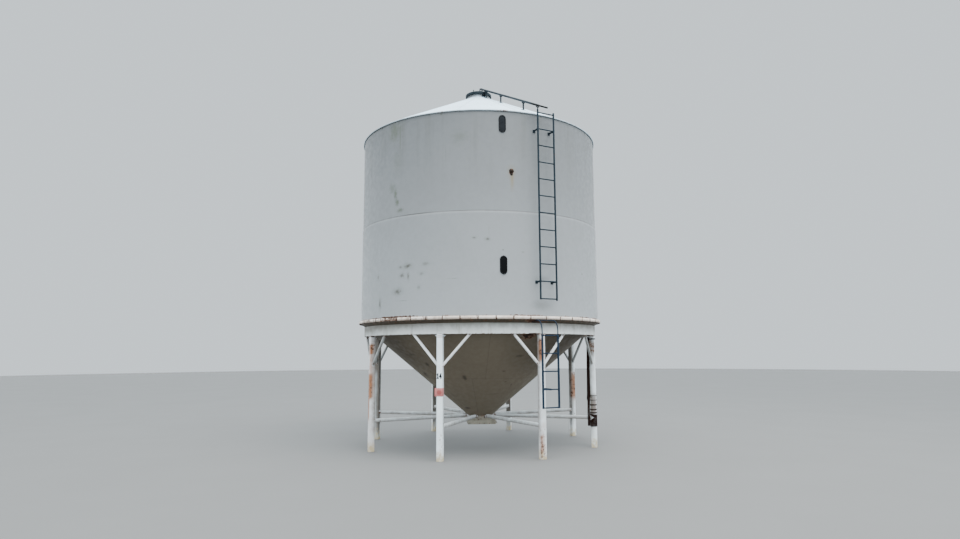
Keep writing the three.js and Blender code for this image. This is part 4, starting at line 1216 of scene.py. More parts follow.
def make_rod(settings, steel, pin_r, pin_z):
    """The pull rod: an eye on the lid's pin, a tongue and a tube down to the grip."""
    low, high = span("rod_grip", ROD_AZ)
    middle = (low + high) / 2
    start = np.array([0.0, pin_r, pin_z])
    along = (middle - start) * [0, 1, 1]
    along /= np.linalg.norm(along)
    raised = np.array([0.0, -along[2], along[1]])
    tilt = settings.grip_tilt
    crossways = np.array([math.cos(tilt), 0.0, 0.0]) - math.sin(tilt) * raised
    end = (middle - settings.grip_shift * crossways) * [0, 1, 1]
    rod = Shape("wear")
    tube_start = start + 0.042 * along
    tube_end = end - (settings.grip_radius + 0.0003) * along
    rod.add(bar(tube_start, tube_end, circle(settings.rod_radius, 20), up=raised, ease=0.002,
                stations=np.linspace(0, 1, 40)), ROD_AZ, wear=0.35)
    rod.add(eye(0.012, 0.0066, 0.016, [pin_r, pin_z], 28), ROD_AZ, wear=0.6)
    tongue = bar(start + 0.0125 * along, start + 0.062 * along, soft_box(0.0118, 0.010, 0.002),
                 up=raised, ease=0.001)
    rod.add(tongue, ROD_AZ, wear=0.4)
    ring = circle(settings.rod_radius + 0.0015, 24)
    collar_path = tube_start + ring[:, :1] * np.array([1.0, 0.0, 0.0]) + ring[:, 1:] * raised
    bead(rod, collar_path, 0.0025, ROD_AZ, closed=True, up=along)
    rod.build("pull_rod", [steel], "rod", ["lid_rod"])
    make_grip(settings.grip_radius, (high[0] - low[0]) / 2, tilt, middle, crossways)


def make_grip(radius, reach_out, tilt, middle, crossways):
    """The ribbed cross grip. Its half length is (reach - radius sin tilt) / cos tilt."""
    half = (reach_out - radius * math.sin(tilt)) / math.cos(tilt)
    profile = [(radius * 0.5, -half), (radius * 0.85, -half + 0.003), (radius, -half + 0.008)]
    for s in np.linspace(-half + 0.02, half - 0.02, 27):
        profile += [(radius, s - 0.0035), (radius * 0.9, s - 0.0015), (radius * 0.9, s + 0.0015),
                    (radius, s + 0.0035)]
    profile += [(radius, half - 0.008), (radius * 0.85, half - 0.003), (radius * 0.5, half)]
    grip = Shape()
    grip.add(spun(profile, 24, placed(middle, ROD_AZ), placed(crossways, ROD_AZ)))
    rubber = rubber_material("grip rubber", (0.010, 0.011, 0.012), (0.04, 0.038, 0.034))
    grip.build("cross_grip", [rubber], "rod", ["rod_grip"], sharp=50)


def make_lid():
    """The lid, its hinge bracket, the forked guides, the strap and the rod with its grip."""
    settings = bpy.context.scene.silo_lid
    paint = plain_paint("lid paint", settings.paint, settings.worn, 6.0, 0.8, 0.07,
                        dirt=(0.035, 0.036, 0.032), dirt_share=0.12, wear=0.22,
                        bare=(0.03, 0.018, 0.013), rust_scale=40.0, speck=0.03)
    steel = plain_paint("dark steel paint", settings.steel, settings.worn, 5.0, 0.7, 0.07,
                        dirt=(0.035, 0.034, 0.03), dirt_share=0.12, speck=0.05, rust_scale=50.0)
    pin_r = math.hypot(ROD_PIN[0], ROD_PIN[1])
    pin_z = ROD_PIN[2]
    make_lid_body(settings, paint, pin_r, pin_z)
    softened("hinge_bracket", "lid_hinge_bracket", 0.0012, steel, "silo")
    for node in sorted(n for n in frame["nodes"] if n.startswith("rod_guide_")):
        softened(node.replace("rod_guide", "rod_fork"), node, 0.0015, steel, "silo")
    make_strap(paint)
    make_rod(settings, steel, pin_r, pin_z)


# Ledge, ring beam and hopper

def make_ledge():
    """Short plates bolted side by side round the barrel's foot, each a little out of line."""
    settings = bpy.context.scene.silo_ledge
    (_, low), (radius, high) = reach("ledge_ring")
    wall = reach("wall_lower_1")[1][0]
    step = 360 / settings.plates
    half = radius * math.sin(math.radians(step / 2)) - settings.gap / 2
    face = radius * math.cos(math.radians(step / 2))
    draws = np.random.default_rng(41).uniform(-1, 1, (settings.plates, 6))
    shares = np.array([0, 0.012, 0.03, 0.07, 0.16, 0.3, 0.5, 0.7, 0.84, 0.93, 0.97, 0.988, 1.0])
    shape = Shape("rust", "wear", "grime")
    for i in range(settings.plates):
        azimuth = math.degrees(settings.first_seam) + step * (i + 0.5)
        out, tip, lift, left, right, dark = draws[i]
        worse = float(hump(0, 26, turn_apart(azimuth, -32)))
        inner = wall - 0.006
        front = face - 0.0012 + 0.0012 * out
        outline = np.array([
            [front, low + 0.004], [front, high - 0.011 + 0.001 * tip], [front - 0.0015, high - 0.0075],
            [front - 0.005, high - 0.005], [inner + 0.01, high - 0.0005], [inner, high], [inner, low + 0.001],
            [front - 0.004, low], [front - 0.001, low + 0.0015],
        ])
        loops = []
        for share in shares:
            lean = 0.0012 * (left * (1 - share) + right * share)
            trim = 0.0015 if share in (0, 1) else 0.0
            edge = outline.copy()
            edge[:, 0] = np.where(edge[:, 0] > inner + 0.015, edge[:, 0] + lean - trim, edge[:, 0])
            edge[:, 1] = np.where(edge[:, 1] > low + 0.02, edge[:, 1] + 0.5 * lean - trim, edge[:, 1] + trim)
            loops.append(((2 * share - 1) * half, edge))

        def rusty(t, r, z):
            ends = smooth_step(half - 0.012, half, np.abs(t))
            by_wall = smooth_step(wall + 0.016, wall + 0.001, r)
            under = smooth_step(low + 0.004, low + 0.001, z)
            sooty = 0.14 * max(dark, 0) + 0.36 * worse * (0.7 + 0.3 * right)
            return np.clip(0.8 * ends + 0.75 * by_wall + 0.35 * under + sooty + 0.1, 0, 1)

        # Painted shade along each plate's lower edge, above the beam, and a crust of dirt on the top edge of
        # some plates.
        def crust_and_shade_under(t, r, z):
            crust = worse * smooth_step(-0.1, 0.5, tip) * smooth_step(high - 0.02, high - 0.006, z)
            crust = crust * smooth_step(0.2, 0.6, np.sin(40 * t + 9 * lift))
            return np.clip(0.95 * smooth_step(low + 0.012, low + 0.001, z) + crust, 0, 1)

        shape.add(stacked(loops), azimuth, rust=rusty, grime=crust_and_shade_under, wear=0.5)
    paint = plain_paint("ledge paint", settings.paint, settings.worn, 3.0, 0.9, 0.3,
                        dirt=(0.2, 0.14, 0.1), dirt_share=0.16, rusty=True, rust_scale=46.0, speck=0.05,
                        strength=0.4, stains_and_shade={"grime": (0.085, 0.068, 0.052)})
    shape.build("ledge_plates", [paint], "silo", ["ledge_ring"])


def make_beam():
    """The rolled angle that rings the hopper: a tall outer face and an inward flange below."""
    settings = bpy.context.scene.silo_frame
    (inner, low), (outer, high) = reach("ring_beam")
    web = 0.016
    flange = 0.014
    back = outer - web
    corner = circle(0.006, 4, -90.0, 90.0) + [outer - 0.006, low + 0.006]
    top = circle(0.003, 3, 0.0, 90.0) + [outer - 0.003, high - 0.003]
    toe = circle(0.004, 3, 90.0, 180.0) + [inner + 0.004, low + flange - 0.004]
    rise = np.stack([np.full(8, outer), np.linspace(low + 0.02, high - 0.02, 8)], -1)
    profile = np.concatenate([corner, rise, top, [[back, high], [back, low + flange + 0.006],
                              [back - 0.006, low + flange]], toe])
    joints = [22.5 + LEG_TURN * i for i in range(LEGS)]

    def relief(azimuth, z, r):
        seams = sum(hump(0, 0.006, np.radians(turn_apart(azimuth, j)) * outer) for j in joints)
        on_face = r > outer - 0.007
        bow = 0.0012 * np.sin(np.radians(azimuth) * 7 + 8 * z)
        return np.where(on_face, 0.0012 * seams + bow * smooth_step(low, low + 0.03, z), 0)

    shape = Shape("rust", "grime")
    body = hoop(profile, seam_columns(240, joints), relief)
    azimuth, _, z = polar(body)
    below = smooth_step(low + 0.02, low, z) * 0.35
    run = 0.8 * hump(0, 0.35, turn_apart(azimuth, 30.5)) * hump(low + 0.11, 0.02, z)
    stain = 0.75 * hump(0, 3.2, turn_apart(azimuth, 41.0)) * smooth_step(low + 0.016, low + 0.01, z)
    # Painted shade: the face darkens towards its top, under the ledge. It is also darker towards azimuths -62
    # and 97, and has a small mark near azimuth 29.
    rise = np.clip((z - low) / (high - low), 0, 1)
    ends = 0.42 * hump(0, 42, turn_apart(azimuth, -62)) + 0.22 * hump(0, 40, turn_apart(azimuth, 97))
    dusty = 0.05 + 0.72 * rise ** 1.2 + ends
    mark = 0.7 * hump(0, 0.25, turn_apart(azimuth, 29.3)) * hump((low + high) / 2 + 0.03, 0.03, z)
    shape.add(body, rust=below + run + stain, grime=dusty + mark)
    paint = plain_paint("beam paint", settings.beam_paint, settings.beam_worn, 1.2, 0.7, 0.35,
                        dirt=(0.26, 0.24, 0.20), dirt_share=0.16, rusty=True, rust_scale=28.0,
                        speck=0.015, stains_and_shade={"grime": (0.13, 0.12, 0.10)})
    shape.build("ring_angle", [paint], "silo", ["ring_beam"], sharp=40)


# Dents and scratches on the hopper: azimuth, height, half width, half height, strength
HOPPER_SCRAPES = (
    (-33.5, 1.795, 0.15, 0.03, 0.85), (-25.1, 1.607, 0.07, 0.06, 0.9), (-41.5, 1.406, 0.10, 0.07, 0.9),
    (3.0, 1.36, 0.06, 0.08, 0.85), (-35.2, 2.026, 0.17, 0.035, 0.95), (43.1, 1.759, 0.13, 0.03, 0.7),
    (37.0, 1.475, 0.05, 0.02, 0.6), (38.3, 1.026, 0.18, 0.008, 0.7), (44.0, 1.27, 0.04, 0.018, 0.5),
    (54.6, 1.206, 0.03, 0.04, 0.6), (-57.0, 1.917, 0.14, 0.04, 0.8), (-18.6, 0.73, 0.09, 0.03, 0.85),
    (10.0, 1.345, 0.35, 0.004, 0.35), (100.0, 1.6, 0.10, 0.02, 0.7), (160.0, 1.2, 0.08, 0.03, 0.7),
    (215.0, 1.9, 0.12, 0.02, 0.7), (250.0, 1.5, 0.06, 0.05, 0.7), (285.0, 1.75, 0.09, 0.02, 0.7),
)


def hopper_paint(settings, slope, mouth, mouth_z):
    """Grey-white paint, shown dark partly by brown dust and partly as painted shade, scraped and dented, with
    dirt along the sheet seams.
    """
    material, net, shader, place = new_material("hopper paint", specular=0.3)
    colour, rough, height = sprayed_coat(net, place, opaque(settings.paint), opaque(settings.worn),
                                         0.9, 0.4)
    torn = net.noise(place, 18.0, 5.0, 0.7)
    scrape = spots(net, place, torn, HOPPER_SCRAPES, lambda z: mouth + (z - mouth_z) / slope, 1.5, 0.2)
    colour = net.blend(scrape, colour, (0.045, 0.036, 0.028))
    seam = net.steps(net.value("seam"), 0.25, 0.9)
    colour = net.blend(net.times(seam, 0.35), colour, (0.07, 0.058, 0.046))
    runs = rain_streaks(net, place, 6.0, 0.9, 0.16)[0]
    colour = net.blend(net.times(runs, 0.3), colour, (0.15, 0.132, 0.10))
    # Grime and painted shade where the vertex value asks for them.
    colour = net.blend(net.value("grime"), colour, (0.056, 0.043, 0.029))
    colour, rough, height = rust_cover(net, place, net.value("rust"), 22.0, colour, rough, height)
    finish_surface(net, shader, colour, rough, net.minus(height, net.times(scrape, 0.8)), 0.14)
    return material


def make_hopper():
    """The cone of rolled sheets: upright seams above and below a girth seam, small dents."""
    settings = bpy.context.scene.silo_hopper
    (_, low), (wide, high) = reach("hopper_cone")
    mouth = 0.254
    slope = (high - low) / (wide - mouth)
    girth = settings.girth_seam
    rise = np.concatenate([
        [low, low + 0.004], np.linspace(low + 0.03, girth - 0.02, 20),
        girth + np.array([-0.007, -0.003, 0, 0.003, 0.007]),
        np.linspace(girth + 0.02, high - 0.02, 26), [high],
    ])
    outside = np.stack([mouth + (rise - low) / slope, rise], -1)
    inside_z = np.linspace(high, low, 8)
    inside = np.stack([mouth + (inside_z - low) / slope - settings.wall, inside_z], -1)
    above = [LEG_TURN * i + 22.5 for i in range(LEGS)]
    below = [90.0 * i + 10.0 for i in range(4)]
    draws = np.random.default_rng(7).uniform(0, 1, (26, 3))
    dents = [(360 * a, low + 0.25 + (high - low - 0.4) * b, 0.05 + 0.09 * c) for a, b, c in draws]

    def seam_level(azimuth, z, r):
        """1 on a seam: upright ones above or below the girth seam, and the girth seam itself."""
        upright = 0
        for group, side in ((above, 1), (below, -1)):
            here = smooth_step(-0.003 * side, 0.003 * side, z - settings.girth_seam)
            for s in group:
                upright = upright + here * hump(0, 0.007, np.radians(turn_apart(azimuth, s)) * r)
        return np.clip(upright + hump(settings.girth_seam, 0.005, z), 0, 1)

    def relief(azimuth, z, r):
        """Seams stand out, round dents go in and a slow bow does both, on the outer side only."""
        surface = mouth + (z - low) / slope
        on_outside = r > surface - settings.wall / 2
        dip = 0
        for a, height_at, size in dents:
            away = np.radians(turn_apart(azimuth, a)) * surface
            dip = dip + 0.004 * size / 0.1 * np.exp(-(away / size) ** 2 - ((z - height_at) / size) ** 2)
        free = smooth_step(low + 0.02, low + 0.2, z) * smooth_step(high, high - 0.1, z)
        bow = 0.002 * np.sin(np.radians(azimuth) * 9 + 3 * z) * free
        return np.where(on_outside, 0.0018 * seam_level(azimuth, z, surface) - dip * free + bow, 0)

    body = hoop(np.concatenate([outside, inside]), seam_columns(288, above + below), relief)
    azimuth, r, z = polar(body)
    level = seam_level(azimuth, z, r)
    patch = 0.95 * hump(0, 3.5, turn_apart(azimuth, 41.5)) * smooth_step(2.02, 2.10, z)
    patch = patch + 0.25 * smooth_step(0.66, 0.58, z) + 0.2 * smooth_step(2.325, 2.34, z)
    # Darker round azimuths 68, -42 and 197 above 1.2 m; the top band under the ledge is fully darkened as
    # painted shade over a little rust.
    sides = 1.0 * hump(0, 26, turn_apart(azimuth, 68)) + 0.75 * hump(0, 24, turn_apart(azimuth, -42))
    sides = sides + 0.4 * hump(0, 90, turn_apart(azimuth, 197))
    grime = sides * smooth_step(1.2, 1.9, z) + smooth_step(2.32, 2.335, z)
    shape = Shape("seam", "rust", "grime")
    shape.add(body, seam=level, rust=np.clip(patch, 0, 1), grime=np.clip(grime, 0, 1))
    material = hopper_paint(settings, slope, mouth, low)
    shape.build("hopper_sheets", [material], "silo", ["hopper_cone"], sharp=30)


# Legs and spokes

# Marks on the legs: leg number, azimuth it faces, height, half height, strength
LEG_RUST = (
    (8, -12.0, 1.93, 0.05, 0.55), (8, -45.0, 1.20, 0.20, 0.30), (1, 40.0, 0.34, 0.16, 0.2),
    (2, -5.0, 1.88, 0.20, 0.30), (2, 0.0, 0.36, 0.22, 0.25), (2, 30.0, 0.12, 0.12, 0.25),
    (3, 25.0, 1.93, 0.12, 0.42), (4, 45.0, 1.10, 0.30, 0.30), (5, 150.0, 1.6, 0.3, 0.4),
    (6, 200.0, 0.7, 0.3, 0.5), (7, 250.0, 1.4, 0.3, 0.5), (5, 60.0, 0.9, 0.3, 0.3),
)
LEG_STAIN = (
    (8, -12.0, 1.90, 0.09, 1.1), (8, -45.0, 1.20, 0.22, 1.0), (8, -95.0, 0.86, 0.27, 1.1),
    (8, -10.0, 1.62, 0.20, 0.25),
    (2, -10.0, 1.86, 0.20, 0.65), (2, 0.0, 0.25, 0.18, 0.4), (3, 20.0, 0.80, 0.20, 0.3),
    (4, 45.0, 1.08, 0.30, 0.7), (1, 0.0, 2.11, 0.03, 0.4), (5, 150.0, 1.5, 0.4, 0.6),
    (6, 190.0, 0.8, 0.4, 0.6), (7, 240.0, 1.3, 0.4, 0.6),
)
# Painted shade, partly dirt: the inner face of every leg, the back legs and parts of legs 3 and 4 are
# darkened.
LEG_GRIME_AND_SHADE = (
    *((number, 180.0 + LEG_TURN * (number - 1), 1.3, 1.2, 0.75) for number in range(1, LEGS + 1)),
    (7, 0.0, 1.86, 0.40, 0.9), (7, 0.0, 0.8, 1.0, 0.45), (4, -20.0, 1.8, 0.4, 0.4),
    (6, 0.0, 1.2, 1.2, 0.4), (5, 0.0, 1.2, 1.2, 0.3), (3, 20.0, 1.90, 0.17, 0.55),
    (3, 20.0, 0.80, 0.22, 0.5),
)


def leg_marks(marks, number, azimuth, leg_r, base):
    """A value for points of a leg: base, and for each mark a bell in height times how far the
    point's side faces the mark's azimuth."""
    def value(t, r, z):
        world = placed(np.stack([t, r - leg_r, 0 * z], -1), azimuth)
        facing = np.degrees(np.arctan2(world[..., 0], -world[..., 1]))
        total = base + 0 * z
        for leg, side, height, half, strength in marks:
            if leg == number:
                turned = np.cos(np.radians(turn_apart(facing, side)))
                window = smooth_step(1.25, 0.6, np.abs(z - height) / half)
                total = total + strength * window * smooth_step(0.1, 0.75, turned)
        return np.clip(total, 0, 1)
    return value


def square_ring(centre, outline, axis, up):
    """The outline of a slanting bar, set square to its axis at a point of it."""
    across = np.cross(axis, up)
    across /= np.linalg.norm(across)
    raised = np.cross(across, axis)
    return centre + outline[:, :1] * across + outline[:, 1:] * raised


def add_brace(shape, settings, azimuth, side, leg_r, top, stain, grime):
    """A square tube from the leg's side up to the beam, cut level under it, with its welds."""
    half = settings.brace_width / 2
    out = settings.brace_spread
    foot = np.array([side * settings.leg_width * 0.3, leg_r, 0.0])
    head = np.array([side * leg_r * math.sin(out), leg_r * math.cos(out), top])
    rise = (top - settings.brace_foot) / (abs(head[0]) - settings.leg_width / 2)
    foot[2] = settings.brace_foot - rise * (settings.leg_width / 2 - abs(foot[0]))
    axis = (head - foot) / np.linalg.norm(head - foot)
    outline = soft_box(half, half, 0.006)
    up = (0, 1, 0)
    body = bar(foot, head, outline, up=up, stations=np.linspace(0, 1, 14))
    body = cut_level(body, len(outline), axis, top - 0.0003, -1)
    low = settings.brace_foot

    def rusty_ends(t, r, z):
        return 0.08 + 0.35 * smooth_step(top - 0.05, top, z) + 0.2 * smooth_step(low + 0.06, low, z)

    shape.add(body, azimuth, wear=0.55, stain=stain, grime=grime, rust=rusty_ends)
    ring = square_ring(head, soft_box(half, half, 0.006, 5), axis, up)
    ring = ring + ((top - 0.002 - ring[:, 2]) / axis[2])[:, None] * axis
    bead(shape, resampled(ring, 0.006, True), 0.004, azimuth, closed=True, rust=0.35)
    face_t = side * settings.leg_width / 2
    centre = foot + axis * (face_t - foot[0]) / axis[0]
    ring = square_ring(centre, outline, axis, up)
    ring = ring + ((face_t - ring[:, 0]) / axis[0])[:, None] * axis
    bead(shape, resampled(ring, 0.006, True), 0.004, azimuth, closed=True, up=(1, 0, 0), rust=0.3)


def add_post(shape, settings, azimuth, leg_r, top, marks):
    """The leg's square tube, with rings every 25 mm so that rust, dirt and painted shade follow the leg."""
    half = settings.leg_width / 2
    outline = soft_box(half, half, settings.leg_rounding, 4)
    stations = np.linspace(0, 1, 86)
    body = bar((0, leg_r, 0), (0, leg_r, top), outline, up=(0, 1, 0), ease=0.0015, stations=stations)

    def corner_wear(t, r, z):
        across = np.minimum(np.abs(t), np.abs(r - leg_r))
        return 0.35 + 0.45 * smooth_step(half - 0.012, half - 0.002, across)

    shape.add(body, azimuth, wear=corner_wear, **marks)


def add_cap(shape, azimuth, inner, outer, half, top, thick):
    """The plate welded on a leg, with eased edges."""
    middle = (inner + outer) / 2
    outline = soft_box(half, (outer - inner) / 2, 0.006)
    body = bar((0, middle, top - thick), (0, middle, top), outline, up=(0, 1, 0), ease=0.002)
    # Heavy rust and stain on the cap, which also stand for painted shade under the beam.
    shape.add(body, azimuth, wear=0.6, rust=0.6, stain=0.6)


def add_dish(shape, azimuth, leg_r, leg_half, half, top, thick):
    """The first leg's cap: a shallow dish that widens upwards from the tube to a rolled lip."""
    levels = [(0.0, 0.0), (0.25, 0.10), (0.55, 0.35), (0.8, 0.75), (1.0, 0.92), (1.06, 1.0),
              (0.98, 1.04), (0.3, 1.0)]
    rings = []
    for widen, rise in levels:
        w = leg_half + (half - leg_half) * min(widen, 1.0) + (0.001 if widen > 1 else 0)
        outline = soft_box(w, leg_half + 0.004 * widen, 0.012)
        z = np.full(len(outline), top - thick + thick * min(rise, 1.0) - 0.0005)
        rings.append(np.column_stack([outline[:, 0], leg_r - 0.004 + outline[:, 1], z]))
    shape.add(lofted(np.array(rings)), azimuth, wear=0.4, rust=0.05, stain=0.15)


def make_leg(shape, settings, number, leg_r, top):
    """A leg's post with its two braces, its cap and the bead under the cap. The first leg has a
    dish in place of a plate; the braces of the first two are cleaner but rust-stained, and those of
    the others are darkened, partly by dirt and partly as painted shade."""
    half = settings.leg_width / 2
    azimuth = LEG_TURN * (number - 1)
    stained = {1: 0.06, 2: 0.32, 8: 0.38}.get(number, 0.2)
    marks = {
        "rust": leg_marks(LEG_RUST, number, azimuth, leg_r, 0.05),
        "stain": leg_marks(LEG_STAIN, number, azimuth, leg_r, stained),
        "grime": leg_marks(LEG_GRIME_AND_SHADE, number, azimuth, leg_r, 0.0),
    }
    add_post(shape, settings, azimuth, leg_r, top - 0.0004, marks)
    # The braces of the other legs are darkened, partly by dirt and partly as painted shade.
    stain, grime = (0.32, 0.0) if number in (1, 2) else (0.1, 0.7)
    for side in (-1, 1):
        add_brace(shape, settings, azimuth, side, leg_r, top, stain, grime)
    if number == 1:
        drop, thick = 0.018, 0.022
        add_dish(shape, azimuth, leg_r, half, 0.085, top - drop, thick)
        under = top - (drop + thick) - 0.002
    else:
        thick = 0.014
        outer = span(f"leg_{number}", azimuth)[1][1]
        add_cap(shape, azimuth, leg_r - 0.056, outer, 0.075, top - 0.0004, thick)
        under = top - thick - 0.002
    ring = soft_box(half + 0.001, half + 0.001, 0.008, 4) + [0, leg_r]
    weld = np.column_stack([ring, np.full(len(ring), under)])
    bead(shape, resampled(weld, 0.007, True), 0.0045, azimuth, closed=True, rust=0.35)


def make_spoke(shape, number):
    """A tube from a leg to the hopper's foot, ended by a tongue, with its weld at the leg."""
    azimuth = LEG_TURN * (number - 1)
    low, high = span(f"spoke_{number}", azimuth)
    half_w = high[0]
    half_h = (high[2] - low[2]) / 2
    middle = (low[2] + high[2]) / 2
    cone_r = reach("hopper_cone")[0][0] + 0.05

    def rusty_ends(t, r, z):
        at_leg = 0.5 * smooth_step(high[1] - 0.06, high[1], r)
        return 0.08 + at_leg + 0.4 * smooth_step(cone_r + 0.12, cone_r, r)

    # Darker from the tube's middle down to its underside.
    def darker_under(t, r, z):
        return 0.38 + 0.45 * smooth_step(middle, low[2], z)

    body = bar((0, cone_r + 0.02, middle), (0, high[1], middle), soft_box(half_w, half_h, 0.006),
               stations=np.linspace(0, 1, 40))
    shape.add(body, azimuth, rust=rusty_ends, wear=0.5, stain=0.2, grime=darker_under)
    tongue_top = reach("outlet_neck")[1][1] - 0.0006
    tongue_mid = (low[2] + tongue_top) / 2
    tongue = bar((0, low[1], tongue_mid), (0, cone_r + 0.03, tongue_mid),
                 soft_box(half_w - 0.0005, (tongue_top - low[2]) / 2, 0.004))
    shape.add(tongue, azimuth, rust=0.3, wear=0.5, stain=0.2, grime=0.3)
    edge = soft_box(half_w, half_h, 0.006, 4)
    ring = np.column_stack([edge[:, 0], np.full(len(edge), high[1] - 0.001), edge[:, 1] + middle])
    bead(shape, resampled(ring, 0.007, True), 0.0045, azimuth, closed=True, up=(0, 1, 0), rust=0.4)


def make_legs():
    """The eight legs, the eight spokes and the marks on the first leg."""
    settings = bpy.context.scene.silo_frame
    half = settings.leg_width / 2
    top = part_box("leg_1")[1][2]
    leg_r = span("leg_1", 0)[1][1] - half
    material = plain_paint("leg paint", settings.paint, settings.worn, 2.4, 0.75, 0.35,
                           dirt=(0.40, 0.37, 0.32), dirt_share=0.10, rusty=True, rust_scale=22.0,
                           wear=0.24, ground=0.24, speck=0.02, bare=(0.2, 0.14, 0.1), strength=0.35,
                           stains_and_shade={"stain": (0.30, 0.12, 0.05), "grime": (0.12, 0.105, 0.088)})
    for number in range(1, LEGS + 1):
        leg = Shape("rust", "wear", "stain", "grime")
        make_leg(leg, settings, number, leg_r, top)
        leg.build(f"leg_post_{number}", [material], "silo", [f"leg_{number}"])
    for number in range(1, LEGS + 1):
        spoke = Shape("rust", "wear", "stain", "grime")
        make_spoke(spoke, number)
        spoke.build(f"spoke_tube_{number}", [material], "silo", [f"spoke_{number}"])
    make_leg_marks(settings, leg_r, half)


# Bands of the cable: middle height and number of turns
CABLE_BANDS = ((0.660, 2), (0.720, 2), (0.810, 2), (0.900, 1), (0.985, 1), (2.080, 2))


def round_post(half, turns, per_turn=36):
    """Points round a square post, half from its middle to the line and with round corners: the
    share of a turn is the share of the way round, from the middle of the inner face."""
    rounding = 0.012
    corner = soft_box(half, half, rounding, 4)
    loop = np.concatenate([corner, corner[:1]])
    way = np.concatenate([[0], np.cumsum(np.linalg.norm(np.diff(loop, axis=0), axis=1))])
    share = np.linspace(0, turns, int(per_turn * turns) + 1)
    inner = 0.75 * way[-1] - (half - rounding)
    at = (share * way[-1] + inner) % way[-1]
    return share, np.stack([np.interp(at, way, loop[:, i]) for i in (0, 1)], -1)


def make_cable():
    """A black cable wound round the third leg under a bundle that is tied down its inner side."""
    settings = bpy.context.scene.silo_cable
    azimuth = math.degrees(settings.azimuth)
    low, high = span("leg_cable", azimuth)
    radius = settings.radius
    post_r = high[1] - (high[0] - low[0]) / 2
    line = high[0] - radius
    face = post_r - line
    section = circle(radius, 8)
    spoke_z = (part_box("spoke_3")[0][2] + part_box("spoke_3")[1][2]) / 2
    cable = Shape()

    def wind(turns, heights):
        """Turns round the post, with heights at numbers of turns: near the inner face a height
        moves off the spoke by room * exp(-(away / 0.05)^2)."""
        share, flat = round_post(line, turns[-1])
        z = np.interp(share, turns, heights)
        away = z - spoke_z
        near_inner = smooth_step(0.30, 0.10, np.abs((share + 0.5) % 1 - 0.5))
        z = z + settings.spoke_room * np.where(away < 0, -1, 1) * hump(0, 0.05, away) * near_inner
        path = np.column_stack([flat[:, 0], flat[:, 1] + post_r, z])
        cable.add(carried(path, section), azimuth)

    bottom = low[2] + radius
    wound_top = settings.wound_top - radius
    above = round((wound_top - spoke_z) / settings.pitch) + 0.5
    below = round((spoke_z - bottom) / settings.pitch) + 0.5
    wind([0, above, above + below], [wound_top, spoke_z, bottom])
    for z, turns in CABLE_BANDS:
        rise = turns * radius
        wind([0, turns + 0.08], [z + rise, z - rise])
    thin, wide_low, wide_top = settings.bundle_thin, settings.bundle_low, settings.bundle_top
    for k in range(10):
        column, row = divmod(k, 2)
        foot = bottom + 0.01 if column < 4 else 0.80
        z = np.linspace(high[2] - radius, foot, 110)
        wide = wide_low + (wide_top - wide_low) * smooth_step(1.5, high[2], z)
        wide = thin + (wide - thin) * smooth_step(0.86, 0.95, z)
        first = 2 * radius * smooth_step(1.0, 0.9, z)
        inward = first + (column + 0.5 * row) / 4.5 * (wide - 2 * radius)
        if column < 4:
            joined = smooth_step(0.98, 0.90, z)
            inward = inward + (first + 0.0005 + 2 * radius * column - inward) * joined
        inward = inward + 0.0025 * np.sin(5.3 * z + 1.7 * k)
        t = (-0.027 + 0.012 * row) - 0.024 * smooth_step(0.80, 0.70, z) + 0.003 * np.sin(4.1 * z + 2.3 * k)
        path = np.column_stack([t, face - np.maximum(inward, 0), z])
        cable.add(carried(path, section, up=(0, 1, 0)), azimuth)
    sheath = rubber_material("cable sheath", (0.012, 0.0045, 0.003), (0.03, 0.017, 0.012))
    cable.build("leg_cable_run", [sheath], "silo", ["leg_cable"], sharp=60)


def stroke_digit(shape, strokes, left, bottom, width, height, face, thick):
    """A plain digit made of straight strokes, in shares of its width and height."""
    outline = soft_box(thick / 2, 0.0004, 0.0003, 1)
    for (x0, y0), (x1, y1) in strokes:
        a = np.array([left + x0 * width, face, bottom + y0 * height])
        b = np.array([left + x1 * width, face, bottom + y1 * height])
        way = (b - a) / np.linalg.norm(b - a)
        shape.add(bar(a - way * thick / 2, b + way * thick / 2, outline, up=(0, 1, 0)), 0)


def make_leg_marks(settings, leg_r, half):
    """A plain stock number and a faded band of tape on the first leg."""
    face = leg_r + half
    ink = plain_paint("number paint", (0.006, 0.007, 0.010), (0.014, 0.016, 0.02), 20.0, 0.5, 0.12,
                      strength=0.1)
    digits = Shape()
    one = [((0.5, 0.0), (0.5, 1.0)), ((0.5, 1.0), (0.15, 0.78)), ((0.15, 0.0), (0.85, 0.0))]
    four = [((0.75, 0.0), (0.75, 1.0)), ((0.75, 1.0), (0.05, 0.32)), ((0.05, 0.32), (1.0, 0.32))]
    bottom = 1.390
    height = 0.076
    stroke = 0.019
    stroke_digit(digits, one, -0.041, bottom, 0.030, height, face + 0.0003, stroke)
    stroke_digit(digits, four, 0.002, bottom, 0.036, height, face + 0.0003, stroke)
    digits.build("stock_number", [ink], "silo", [])

    band = Shape()
    skin = 0.0012
    band_z = 1.1545
    out = half + skin / 2 + 0.0002
    corner = circle(0.009, 5, 0.0, 90.0) + [half - 0.008, face - 0.008]
    right = np.array([[out, leg_r - half * 0.6], [out, leg_r]])
    left_curl = np.array([[-half + 0.004, leg_r + out], [-half - 0.012, leg_r + out + 0.0015],
                          [-half - 0.024, leg_r + out - 0.001], [-half - 0.034, leg_r + out - 0.0065]])
    track = np.concatenate([right, corner, left_curl])
    path = resampled(np.column_stack([track, np.full(len(track), band_z)]), 0.006)
    band.add(carried(path, soft_box(skin / 2, 0.0705, skin / 2.2, 2)), 0)
    band.build("leg_band", [tape_material(settings.tape, face)], "silo", [])


# Outlet

